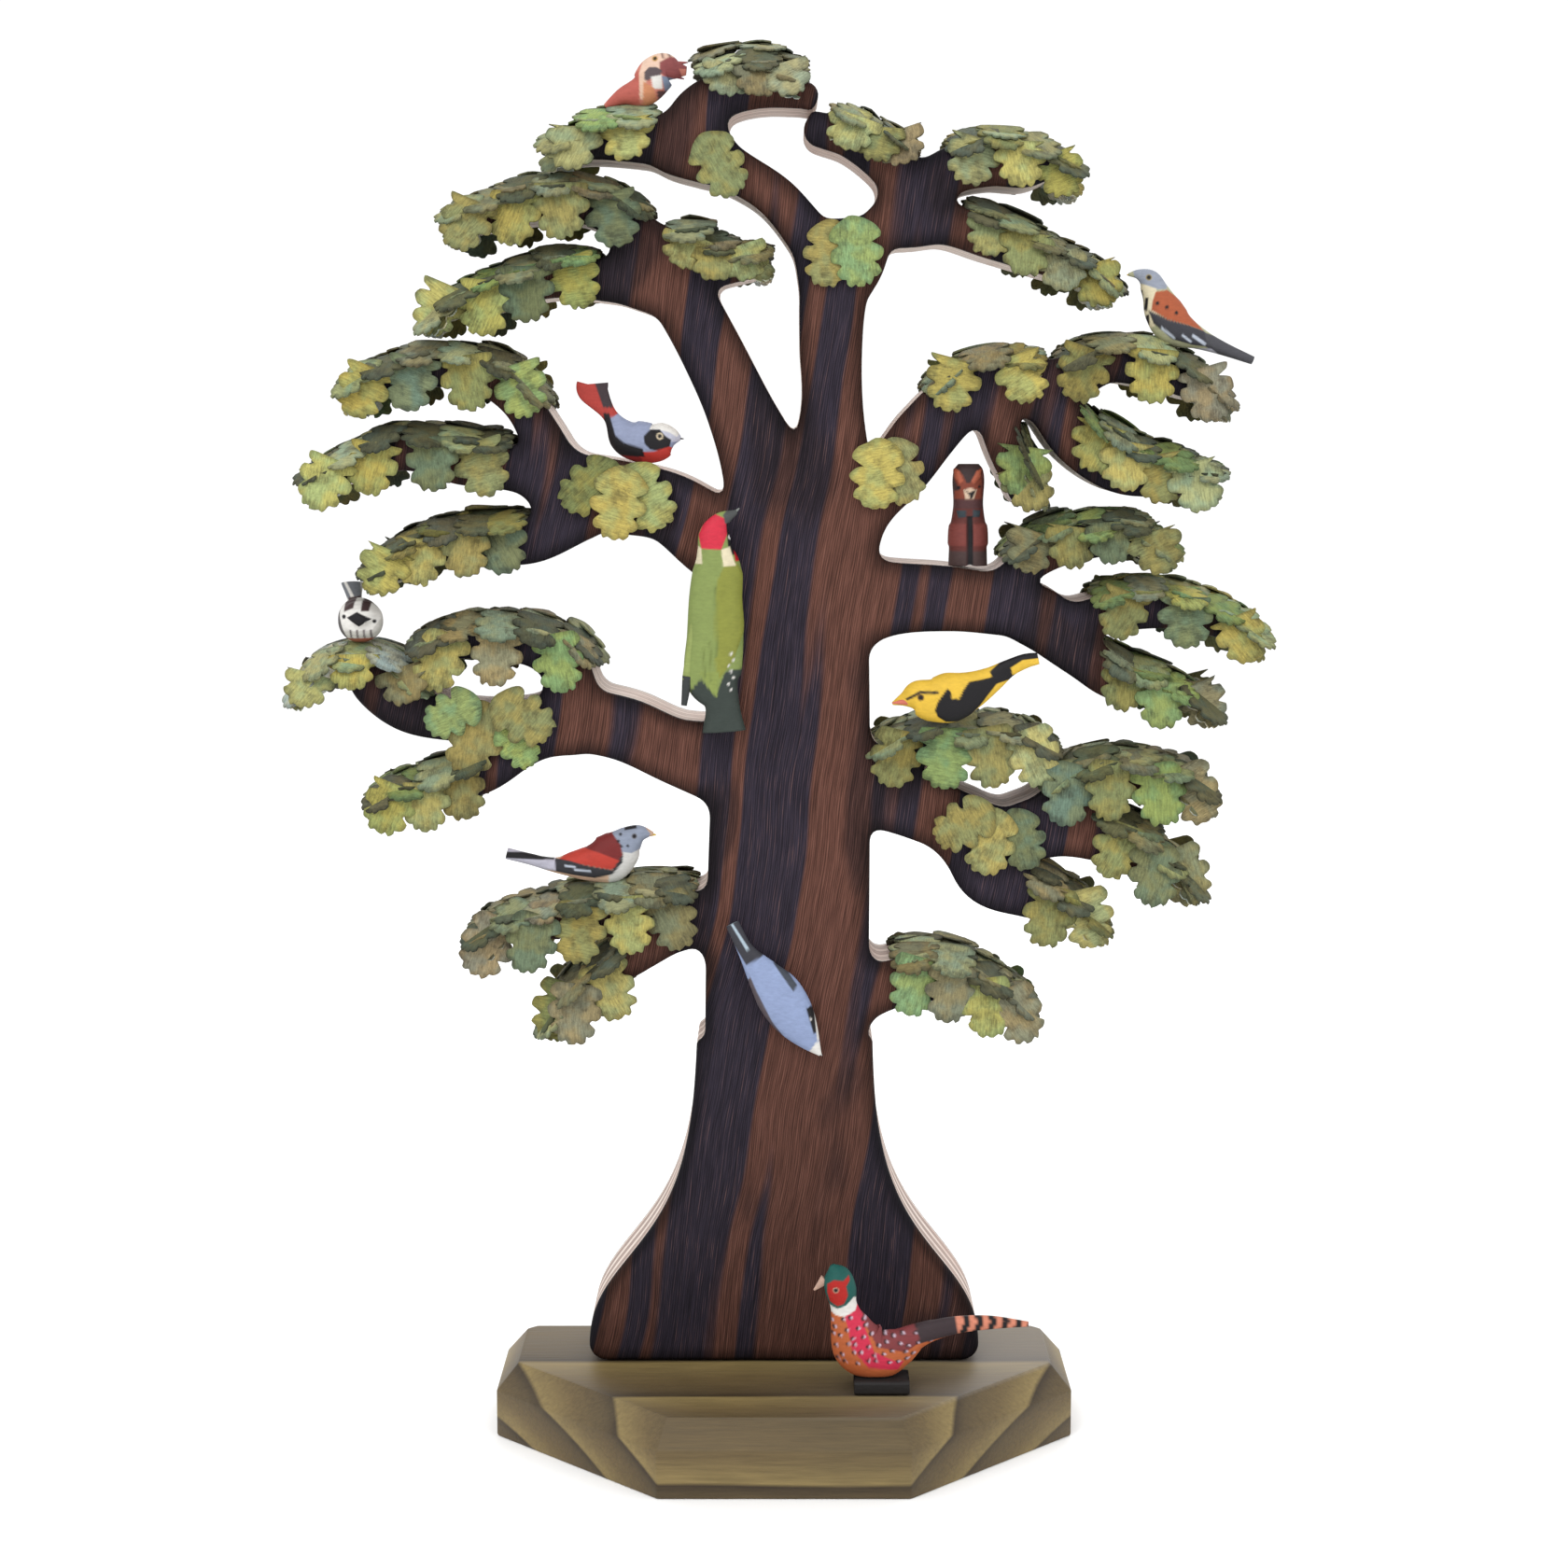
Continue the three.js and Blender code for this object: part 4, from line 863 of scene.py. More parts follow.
    @staticmethod
    def inside(triangles: Sequence[Face], walls: Sequence[tuple[int, int]]) -> list[Face]:
        """The triangles on the wood's side of the outline.

        Args:
            triangles: All the triangles.
            walls: The outline's steps, the wood on their left.

        Returns:
            Those in the wood.
        """
        owner = {}
        for number, (a, b, c) in enumerate(triangles):
            owner[a, b] = owner[b, c] = owner[c, a] = number
        closed = set(walls)
        todo = [owner[wall] for wall in walls if wall in owner]
        kept = set(todo)
        while todo:
            a, b, c = triangles[todo.pop()]
            for p, q in ((a, b), (b, c), (c, a)):
                near = owner.get((q, p))
                if (p, q) not in closed and near is not None and near not in kept:
                    kept.add(near)
                    todo.append(near)
        return [triangles[i] for i in sorted(kept)]


@dataclass
class Plinth:
    """The plinth: a block with slanting front sides, cut back corners and a chamfered top.

    Its softened edges are insets and heights: from the floor, the band's top and the block's top.
    """

    width: float = 170.0
    depth: float = 94.0
    front_edge: float = 71.0
    side_setback: float = 50.5
    back_corner: float = 6.5
    band: float = 14.1
    rise: float = 7.6
    run: float = 6.4
    corner: float = 1.4
    corner_steps: int = 5
    foot_edge: tuple[tuple[float, float], ...] = ((0.7, 0.0), (0.2, 0.2), (0.0, 0.7))
    band_edge: tuple[tuple[float, float], ...] = ((0.0, -0.5), (0.12, 0.0), (0.5, 0.5))
    top_edge: tuple[tuple[float, float], ...] = ((-0.4, -0.5), (-0.1, -0.15), (0.4, 0.0))
    crease: float = 30.0

    def build(self, material: bpy.types.Material) -> bpy.types.Object:
        """Build the plinth.

        Args:
            material: Its finish.

        Returns:
            The piece.
        """
        top = self.band + self.rise
        rings = [*self.foot_edge, (0.0, self.band * 0.5)]
        rings += [(inset, self.band + z) for inset, z in self.band_edge]
        rings += [(self.run + inset, top + z) for inset, z in self.top_edge]
        clay, rows = Clay(), []
        for inset, z in rings:
            ring = self.ring(inset)
            rows.append(list(range(clay.count, clay.count + len(ring))))
            clay.add(np.column_stack([ring, np.full(len(ring), z)]), [])
        for first, second in zip(rows[:-1], rows[1:]):
            clay.bind(band(first, second))
        clay.bind([tuple(reversed(rows[0])), tuple(rows[-1])])
        return clay.piece("plinth_block", "plinth", "plinth", [material], self.crease)

    def ring(self, inset: float) -> np.ndarray:
        """The plan at some inset, with its corners rounded.

        Args:
            inset: How far inside the outline it runs.

        Returns:
            Its points, anticlockwise from above.
        """
        half, front, back = self.width / 2, -self.depth / 2, self.depth / 2
        right = [(self.front_edge / 2, front), (half, front + self.side_setback),
                 (half, back - self.back_corner), (half - self.back_corner, back)]
        corners = np.array(right + [(-x, y) for x, y in reversed(right)])
        ahead = unit(np.roll(corners, -1, 0) - corners)
        normals = np.stack([-ahead[:, 1], ahead[:, 0]], 1)
        points = []
        for k, corner in enumerate(corners):
            before, after = normals[k - 1], normals[k]
            bisector = (before + after) / (1 + before @ after)
            middle = corner + bisector * (inset + self.corner)
            for t in np.linspace(0, 1, self.corner_steps):
                points.append(middle - unit(before * (1 - t) + after * t) * self.corner)
        return np.array(points)


@dataclass
class LeafCut:
    """One veneer leaf: a cut stem end, broad shoulders, two narrow notches a side and a wavy end."""

    half: tuple[tuple[float, float], ...] = (
        (1.2, -9.8), (3.6, -8.6), (5.8, -6.8), (7.1, -4.9), (6.9, -3.5), (5.9, -2.8), (4.9, -2.6),
        (4.6, -1.9), (5.4, -1.4), (6.8, -0.9), (7.5, 0.5), (7.2, 2.0), (6.0, 2.8), (4.9, 3.1),
        (4.6, 3.8), (5.3, 4.3), (6.1, 5.1), (5.9, 6.5), (4.8, 7.2), (3.8, 7.4), (3.6, 8.6),
        (2.6, 9.4), (1.6, 8.9), (0.7, 9.6))
    notches: tuple[int, ...] = (7, 14)
    stem: float = 9.8
    tip: float = 9.5
    side: float = 7.5
    wobble: float = 0.26
    notch_cuts: tuple[float, float] = (0.84, 1.14)
    cups: tuple[float, float] = (0.1, 0.7)
    bends: tuple[float, float] = (0.2, 1.1)
    twists: tuple[float, float] = (-0.5, 0.5)
    thickness: float = 0.55
    rings: tuple[float, ...] = (0.8, 1.0)
    rim_shade: float = 0.58

    def rim(self, draws: random.Random, stem: float, steps: int) -> np.ndarray:
        """Outline of a leaf, cut a little differently each time.

        Args:
            draws: Where its unevenness comes from.
            stem: How far its stem end lies from the middle.
            steps: How many steps lie between two of its corners.

        Returns:
            Across and along of each point, the tip along the second axis, clockwise from the tip.
        """
        sides = []
        for side in (1, -1):
            corners = np.array(self.half) + [[draws.uniform(-self.wobble, self.wobble) for _ in range(2)]
                                             for _ in self.half]
            for notch in self.notches:
                corners[notch, 0] *= draws.uniform(*self.notch_cuts)
            corners[:, 1] = np.maximum(corners[:, 1], -stem)
            sides.append(corners * [side, 1])
        loop = np.vstack([sides[0][::-1], sides[1]])
        return flow(np.vstack([loop, loop[:1]]), steps)[:-1]

    def sheet(self, draws: random.Random, stem: float, curl: float, steps: int) -> np.ndarray:
        """Both sides of a leaf lying flat.

        Args:
            draws: Where its unevenness comes from.
            stem: How far its stem end lies from the middle.
            curl: How strongly it curls.
            steps: How many steps lie between two corners of its outline.

        Returns:
            Points of the sheet, its front first.
        """
        rim = self.rim(draws, stem, steps)
        cup, bend, twist = (draws.uniform(*ends) for ends in (self.cups, self.bends, self.twists))
        rows = [np.zeros((1, 3))]
        for ring in self.rings:
            flat = rim * ring
            across, along = flat[:, 0] / self.side, flat[:, 1] / self.tip
            away = cup * across ** 2 + bend * along ** 2 + twist * across * along
            rows.append(np.column_stack([flat, -away * curl]))
        front = np.vstack(rows)
        return np.vstack([front, front - [0, 0, self.thickness]])

    def faces(self, count: int) -> list[Face]:
        """Faces of the sheet: its front, its underside and the rim between them.

        Args:
            count: How many points its outline has.

        Returns:
            The faces.
        """
        side = 1 + count * len(self.rings)
        rows = [list(range(1 + count * k, 1 + count * (k + 1))) for k in range(len(self.rings))]
        front = [(0, rows[0][(i + 1) % count], rows[0][i]) for i in range(count)]
        for inner, outer in zip(rows[:-1], rows[1:]):
            front += band(inner, outer)
        under = [tuple(i + side for i in reversed(face)) for face in front]
        return front + under + band(rows[-1], [i + side for i in rows[-1]])


@dataclass
class Spray:
    """A spray of leaves over the end of one limb.

    The paints of its hanging leaves and of its tops are letters of LEAF_LETTERS, from the limb's
    root to its tip. Start and end are shares of the limb's line, beyond and drop are shares of a
    leaf's hanging length, and ridge is the height of its top in hundredths of the tree's height.
    """

    name: str
    line: str
    paints: str
    tops: str
    start: float
    end: float
    beyond: float
    drop: float
    ridge: float = 0.54
    path: tuple[Triple, ...] = ()


@dataclass
class Station:
    """A place on a spray's line."""

    point: np.ndarray
    ahead: np.ndarray
    rise: float
    past: float

    def over(self, up: float, y: float) -> np.ndarray:
        """A point above the line, at some depth, with the foot's level added."""
        x, z = self.point + upright(self.ahead) * up
        return np.array([x, y, z + FOOT_LEVEL])


@dataclass
class Route:
    """The line that a spray follows along its limb and past the tip."""

    rows: np.ndarray

    def __post_init__(self) -> None:
        """Measure the line."""
        steps = np.hypot(*np.diff(self.rows[:, :2], axis=0).T)
        self.travel = np.concatenate([[0.0], np.cumsum(steps)])
        self.heading = math.copysign(1.0, self.rows[-1, 0] - self.rows[0, 0])

    def at(self, share: float) -> Station:
        """A place on the line.

        Args:
            share: How far along it is, from 0 to 1.

        Returns:
            The place.
        """
        travel = share * self.travel[-1]
        row = [float(np.interp(travel, self.travel, column)) for column in self.rows.T]
        return Station(np.array(row[:2]), np.array(row[2:4]), row[4], row[5])


@dataclass(frozen=True)
class Lane:
    """One row of laid leaves: how far in from the board's edge it lies, and how its leaves lean."""

    inset: float
    reach: float
    slope: float
    up: float
    crown: float


@dataclass
class Foliage:
    """All the leaves, set on the limbs that the plan draws.

    A hanging leaf's middle lies a reach below the tuck where it is glued to the limb's top. Fans
    are where a leaf points along its limb, at the limb's root and how much more at its tip.
    """

    plan: Plan
    cut: LeafCut
    lanes: tuple[Lane, ...] = (Lane(1.8, 1.0, 0.46, -0.5, 0.35), Lane(6.4, 1.0, 0.26, 0.7, 0.35),
                               Lane(12.2, 0.35, 0.10, 1.0, 0.9))
    hanging: float = 15.6
    least_reach: float = 1.8
    most_reach: float = 8.2
    glued: float = 1.2
    tuck: float = 1.4
    margin: float = 3.0
    pitch: float = 9.5
    lift: float = 0.32
    sag: float = 0.35
    # painted shade: share of a leaf's paint that its underside takes, standing in for its shaded side
    underside: float = 0.35
    face_gap: float = 1.4
    face_layer: float = 0.75
    probe: float = 1.5
    probe_step: float = 0.25
    past_steps: int = 7
    past_fall: float = 0.7
    tones: tuple[float, float] = (0.80, 1.16)
    reds: tuple[float, float] = (0.92, 1.08)
    blues: tuple[float, float] = (0.86, 1.14)
    grains: tuple[int, ...] = (0, 0, 90)
    grain_lean: float = 16.0
    hung_fan: tuple[float, float] = (-0.44, 1.0)
    hung_flare: tuple[float, float] = (0.20, 1.2)
    hung_sizes: tuple[float, float] = (1.0, 1.1)
    back_size: float = 0.95
    back_reach: float = 0.8
    laid_fan: tuple[float, float] = (-0.55, 1.8)
    laid_stem: float = 7.0
    laid_sizes: tuple[float, float] = (0.84, 1.04)
    laid_curl: float = 1.2
    tip_place: float = 0.96
    tip_sides: tuple[float, ...] = (-0.9, -0.45, 0.0, 0.45, 0.9)
    tip_stem: float = 6.0
    tip_sizes: tuple[float, float] = (0.85, 1.0)
    tip_curl: float = 1.3
    face_curl: float = 0.5
    top_steps: int = 1
    front_steps: int = 2
    crease: float = 50.0
    seed: int = 41
    draws: random.Random = field(init=False)

    def __post_init__(self) -> None:
        """Start the draws."""
        self.draws = random.Random(self.seed)

    def route(self, spray: Spray) -> Route:
        """Find the line that a spray follows.

        Args:
            spray: The spray.

        Returns:
            The line, with its heading, the height of the limb's top over it, and how far past the
            limb's tip it is from 0 to 1.
        """
        steps = self.plan.limb_steps
        line = self.plan.lines[spray.line] if spray.line else flow(np.array(spray.path) * U, steps)
        first, last = int(spray.start * (len(line) - 1)), int(round(spray.end * (len(line) - 1)))
        line = line[first:last + 1]
        ahead = unit(np.gradient(line[:, :2], axis=0))
        rows = []
        for point, way in zip(line, ahead):
            normal = upright(way)
            rise = np.arange(point[2], point[2] + self.probe * U, self.probe_step)
            away = self.plan.distance(point[0] + normal[0] * rise, point[1] + normal[1] * rise)
            clear = rise[int(np.argmax(away > 0))] if (away > 0).any() else rise[-1]
            rows.append([*point[:2], *way, clear + self.lift * U, 0.0])
        length = spray.beyond * self.hanging
        for share in np.linspace(0, 1, self.past_steps)[1:]:
            point = line[-1, :2] + ahead[-1] * length * share
            drop = self.sag * max(length * share - line[-1, 2], 0) * share
            way = unit(ahead[-1] + [0, -self.past_fall * share])
            rows.append([point[0], point[1] - drop, *way, line[-1, 2] + self.lift * U, share])
        return Route(np.array(rows))

    def leaf(self, clay: Clay, centre: Sequence[float], out: Sequence[float], tip: Sequence[float],
             paint: Leaf, stem: float, size: float, curl: float, steps: int,
             under: Leaf | None = None, room: Room | None = None) -> None:
        """Add one leaf.

        Args:
            clay: The piece.
            centre: Its middle, in millimetres.
            out: Where its face looks.
            tip: Where its tip points.
            paint: Its paint.
            stem: How far its stem end lies from the middle.
            size: Its size as a share of the full leaf.
            curl: How strongly it curls.
            steps: How many steps lie between two corners of its outline.
            under: The paint of its underside, where that is not its own paint darkened as painted shade.
            room: Lowest and highest corner of the room that it is slid into.
        """
        draw = self.draws.uniform
        sheet = self.cut.sheet(self.draws, stem, curl, steps)
        ahead, face = unit(np.array(tip, float)), np.array(out, float)
        face = unit(face - ahead * (face @ ahead))
        points = np.array(centre) + sheet @ np.array([np.cross(ahead, face), ahead, face]) * size
        if room is not None:
            inwards = np.maximum(room[0] - points.min(0), 0) - np.maximum(points.max(0) - room[1], 0)
            points += inwards * [1, 0, 1]
        half = len(sheet) // 2
        tone = draw(*self.tones) * np.array([draw(*self.reds), 1.0, draw(*self.blues)])
        # painted shade: unless given, the underside takes the leaf's paint darkened, standing in for the
        # shade under it
        below = np.array(under.value) if under else np.array(paint.value) * self.underside
        count = (half - 1) // len(self.cut.rings)
        shade = np.ones((half, 1))
        shade[-count:] = self.cut.rim_shade
        colour = np.vstack([shade * np.array(paint.value) * tone, np.tile(below, (half, 1))])
        grain = math.radians(self.draws.choice(self.grains) + draw(-self.grain_lean, self.grain_lean))
        turned = sheet[:, :2] @ np.array([[math.cos(grain), math.sin(grain)],
                                          [-math.sin(grain), math.cos(grain)]])
        place = np.column_stack([turned, np.full(len(sheet), draw(0, 10))])
        clay.add(points, self.cut.faces(count), paint=colour, leaf=place)

    def hung(self, clay: Clay, spray: Spray, route: Route, sign: float, room: Room) -> None:
        """Add the row that hangs from one edge of the limb, its leaves spread like a fan.

        Args:
            clay: The piece.
            spray: The spray.
            route: Its line.
            sign: The side: -1 at the front and 1 at the back.
            room: The room that the spray's leaves keep to.
        """
        paints = [LEAF_LETTERS[letter] for letter in spray.paints]
        behind = sign > 0
        face = BOARD_BACK if behind else BOARD_FRONT
        flare = self.hung_flare[0] + max(0.0, 1 - spray.drop) * self.hung_flare[1]
        total = route.travel[-1]
        hanging = self.hanging * spray.drop - self.cut.tip
        reach = min(max(hanging, self.least_reach), self.most_reach) - self.glued
        for k, paint in enumerate(reversed(paints) if behind else paints):
            share = (k + 0.5) / len(paints)
            station = route.at((self.margin + (total - 2 * self.margin) * share) / total)
            fan = self.hung_fan[0] + self.hung_fan[1] * share + self.draws.uniform(-0.10, 0.10)
            spread = flare + self.draws.uniform(-0.05, 0.05)
            tip = unit(np.array([route.heading * fan, sign * spread, -1.0]))
            out = np.array([route.heading * 0.12, sign, 0.25 * spread])
            y = face + sign * (1.1 + 0.7 * (k % 2)) - sign * 9.0 * station.past
            centre = station.over(station.rise - self.tuck, y)
            centre = centre + tip * reach * (self.back_reach if behind else 1.0)
            size = self.draws.uniform(*self.hung_sizes) * (self.back_size if behind else 1.0)
            self.leaf(clay, centre, out, tip, paint, reach + 0.3, size, 1.0, self.front_steps, None, room)

    def laid(self, clay: Clay, spray: Spray, route: Route, room: Room) -> None:
        """Add the rows that lie over the top, fanned from the limb's root to its tip.

        Args:
            clay: The piece.
            spray: The spray.
            route: Its line.
            room: The room that the spray's leaves keep to.
        """
        tops = [LEAF_LETTERS[letter] for letter in spray.tops]
        draw = self.draws.uniform
        count = max(2, round(route.travel[-1] / self.pitch))
        for number, lane in enumerate(self.lanes):
            crown = spray.ridge * U * lane.crown
            for side, edge in ((-1.0, BOARD_FRONT), (1.0, BOARD_BACK)):
                for k in range(count):
                    station = route.at((k + 0.5) / count)
                    along = self.laid_fan[0] + self.laid_fan[1] * (k + 0.5) / count + draw(-0.25, 0.25)
                    heading, normal = station.ahead, upright(station.ahead)
                    fall = lane.slope * draw(0.7, 1.3)
                    tip = (heading[0] * along, side * lane.reach, heading[1] * along - fall)
                    out = (normal[0], side * (0.1 + lane.slope), normal[1])
                    depth = edge - side * lane.inset + draw(-0.8, 0.8)
                    centre = station.over(station.rise + lane.up + crown + 0.6 * (k % 2), depth)
                    self.leaf(clay, centre, out, tip, tops[(k + number) % len(tops)], self.laid_stem,
                              draw(*self.laid_sizes), self.laid_curl, self.top_steps, None, room)

    def spray(self, spray: Spray, material: bpy.types.Material, slot: str) -> bpy.types.Object:
        """Build one spray: a front and a back row that hang, rows on top, and drooping tip leaves.

        Args:
            spray: The spray.
            material: The leaves' finish.
            slot: The record's material slot.

        Returns:
            The piece.
        """
        clay, route, node = Clay(), self.route(spray), "spray_" + spray.name
        room = tuple(np.array(corner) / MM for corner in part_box(node))
        for sign in (-1.0, 1.0):
            self.hung(clay, spray, route, sign, room)
        self.laid(clay, spray, route, room)
        self.tips(clay, LEAF_LETTERS[spray.paints[-1]], route.at(self.tip_place), room)
        return clay.piece("leaves_on_" + spray.name, node, slot, [material], self.crease)

    def tips(self, clay: Clay, paint: Leaf, station: Station, room: Room) -> None:
        """Add the drooping leaves over the limb's tip, whose pale undersides show.

        Args:
            clay: The piece.
            paint: Their paint.
            station: Where they are glued.
            room: The room that the spray's leaves keep to.
        """
        heading, normal = station.ahead, upright(station.ahead)
        middle, reach = (BOARD_FRONT + BOARD_BACK) / 2, (BOARD_BACK - BOARD_FRONT) / 2 - 3.0
        for side in self.tip_sides:
            tip = (heading[0], side * 0.7, heading[1] - 0.40 - 0.25 * abs(side))
            out = (normal[0], side * 0.8, normal[1] + 0.2)
            centre = station.over(station.rise - 1.2 - abs(side), middle + side * reach)
            self.leaf(clay, centre - [heading[0] * 4.0, 0, 0], out, tip, paint, self.tip_stem,
                      self.draws.uniform(*self.tip_sizes), self.tip_curl, self.top_steps, Leaf.PALE, room)

    def flat(self, node: str, leaves: Sequence[tuple[float, float, float, float, str]],
             material: bpy.types.Material, slot: str) -> bpy.types.Object:
        """Build a group of leaves glued on the board's face.

        Args:
            node: The CAD node that it replaces.
            leaves: Across and up of the stem end, turn in degrees, size and paint letter of each.
            material: The leaves' finish.
            slot: The record's material slot.

        Returns:
            The piece.
        """
        clay = Clay()
        for k, (across, up, turn, size, letter) in enumerate(leaves):
            angle = math.radians(turn)
            tip = np.array([math.sin(angle), -0.04, -math.cos(angle)])
            y = BOARD_FRONT - self.face_gap - self.face_layer * k
            stem = np.array([across * U, y, up * U + FOOT_LEVEL])
            centre = stem + tip * self.cut.stem * size
            self.leaf(clay, centre, (0, -1, 0), tip, LEAF_LETTERS[letter], self.cut.stem, size,
                      self.face_curl, self.front_steps)
        return clay.piece(node.replace("leaves", "face_leaves"), node, slot, [material], self.crease)


SPRAYS = (
    Spray("crown", "crown", "STS", "SDT", 0.42, 1, 0, 0.55, 1.9),
    Spray("jay_perch", "jay_branch", "YS", "SGS", 0.3, 1, 0.3, 0.8),
    Spray("crown_right", "crown_right", "TOM", "DST", 0.25, 0.86, 0.1, 0.7),
    Spray("ear", "ear", "SYY", "DOS", 0.3, 1, 0.6, 0.9),
    Spray("arm_right", "arm_right", "MOSY", "DST", 0.48, 1, 0.65, 0.8),
    Spray("arm_left", "arm_left", "BOYO", "DTS", 0.3, 1, 0.4, 1),
    Spray("elbow_left", "elbow_left", "YBYM", "GDS", 0.4, 1, 1, 1),
    Spray("knob", "knob", "YOM", "SDT", 0.2, 1, 0.2, 0.65, 0.3),
    Spray("mid_left_top", "mid_left_top", "GOBY", "TDS", 0.33, 1, 0.6, 1),
    Spray("mid_left_mid", "mid_left_mid", "OBYM", "DSD", 0.28, 1, 0.4, 1),
    Spray("mid_left_low", "mid_left_low", "BOYY", "ODD", 0.28, 1, 0.3, 0.9),
    Spray("tit_perch", "", "TYM", "SPS", 0, 1, 0, 0.7, 0.16,
          ((-27.6, 54.1, 0), (-29.9, 55.8, 0), (-32.9, 56.8, 0), (-35.8, 56, 0), (-38.6, 53.4, 0))),
    Spray("low_left_top", "low_left_top", "GTM", "TDS", 0.2, 1, 0.45, 1.15),
    Spray("low_left_down", "low_left_down", "OMY", "DSG", 0.5, 1, 0.4, 0.95),
    Spray("linnet_perch", "foot_left", "TYOBT", "DTS", 0.36, 1, 0.75, 1.3),
    Spray("foot_left_down", "foot_left_down", "MTO", "DTS", 0.35, 1, 0.6, 1.1),
    Spray("high_right", "high_right_out", "YY", "STO", 0, 0.38, 0, 0.95),
    Spray("fieldfare_perch", "high_right_out", "OYT", "DTS", 0.46, 1, 0.6, 1),
    Spray("high_right_drop", "high_right_drop", "GO", "DDS", 0.3, 1, 0.3, 0.9),
    Spray("high_right_low", "high_right_low", "OYOS", "GSD", 0.16, 1, 0.3, 0.9),
    Spray("mid_right_top", "mid_right_top", "TOBO", "DSG", 0.16, 1, 0.1, 0.8),
    Spray("mid_right", "mid_right", "OBY", "GSY", 0.66, 1, 0.55, 0.95),
    Spray("mid_right_low", "mid_right_low", "OGT", "DSG", 0.5, 1, 0.9, 0.9),
    Spray("oriole_perch", "low_right_twig", "OGOM", "SDS", 0.1, 1, 0.6, 1.1),
    Spray("low_right", "low_right", "BOGT", "SDT", 0.68, 1, 0.8, 1.2),
    Spray("low_right_mid", "low_right_mid", "OBT", "DTS", 0.4, 1, 0.7, 1.1),
    Spray("low_right_down", "low_right_down", "OM", "TDO", 0.66, 1, 0.6, 1.1),
    Spray("foot_right", "foot_right", "GTYT", "TSD", 0.38, 1, 0.45, 1.1),
)

FLAT_LEAVES = {
    "leaves_bow": ((-6.2, 96.3, 29, 1, "O"),),
    "leaves_fork": ((3.8, 89.9, -9, 0.97, "O"), (5.2, 90.2, 7, 1.02, "G")),
    "leaves_mid_left": ((-12.1, 71.4, 30, 1.08, "M"), (-12.6, 71.3, -55, 1.02, "O"),
                        (-12.3, 71.3, -8, 1.08, "Y")),
    "leaves_low_left": ((-23, 53.1, -19, 1.14, "O"), (-21.9, 51.6, 34, 0.8, "G"),
                        (-23.6, 53.4, -60, 0.9, "G"), (-22.6, 53.3, 60, 1.02, "O")),
    "leaves_high_right": ((8, 73.4, 18, 1, "O"), (7.4, 73.4, -5, 1.04, "Y")),
    "leaves_low_right": ((17.8, 44.7, 17, 0.95, "B"), (16.6, 44.8, -11, 1.02, "Y"),
                         (16.3, 44.9, -59, 0.98, "O")),
}
LEAF_SLOTS = ("olive_leaf", "lime_leaf", "moss_leaf", "sage_leaf", "grey_leaf")


INK = (0.012, 0.011, 0.013)
WHITE = (0.78, 0.76, 0.72)
CREAM = (0.74, 0.66, 0.46)


@dataclass(frozen=True)
class Dab:
    """One patch of paint. Its corners are squares of the painting plan, across and down."""

    paint: Triple
    corners: str
    front_only: bool = False
    raised: float = 0.0

    def away(self, x: np.ndarray, y: np.ndarray) -> np.ndarray:
        """How far points lie outside the patch.

        Args:
            x: Across.
            y: Down.

        Returns:
            The distances, negative inside.
        """
        corners = np.array([[float(n) for n in pair.split(",")] for pair in self.corners.split()])
        gap = np.full(len(x), 1e9)
        inside = np.zeros(len(x), bool)
        for (ax, ay), (bx, by) in zip(corners, np.roll(corners, -1, 0)):
            dx, dy = bx - ax, by - ay
            t = np.clip(((x - ax) * dx + (y - ay) * dy) / (dx * dx + dy * dy), 0, 1)
            gap = np.minimum(gap, np.hypot(x - ax - t * dx, y - ay - t * dy))
            if dy:
                inside ^= ((ay > y) != (by > y)) & (x < ax + (y - ay) / dy * dx)
        return np.where(inside, -gap, gap)


@dataclass(frozen=True)
class Spot:
    """A round dot of paint on the plan, such as an eye or a fleck."""

    paint: Triple
    across: float
    down: float
    radius: float
    front_only: bool = False
    raised: float = 0.0

    def away(self, x: np.ndarray, y: np.ndarray) -> np.ndarray:
        """How far points, given across and down, lie outside the dot."""
        return np.hypot(x - self.across, y - self.down) - self.radius


@dataclass(frozen=True)
class Spike:
    """A tapering carved bit, such as a beak, an ear or a wing's tip, between two plan points."""

    paint: Triple
    start: tuple[float, float]
    finish: tuple[float, float]
    thick: tuple[float, float]
    flat: float = 0.7
    set_back: float = 0.0


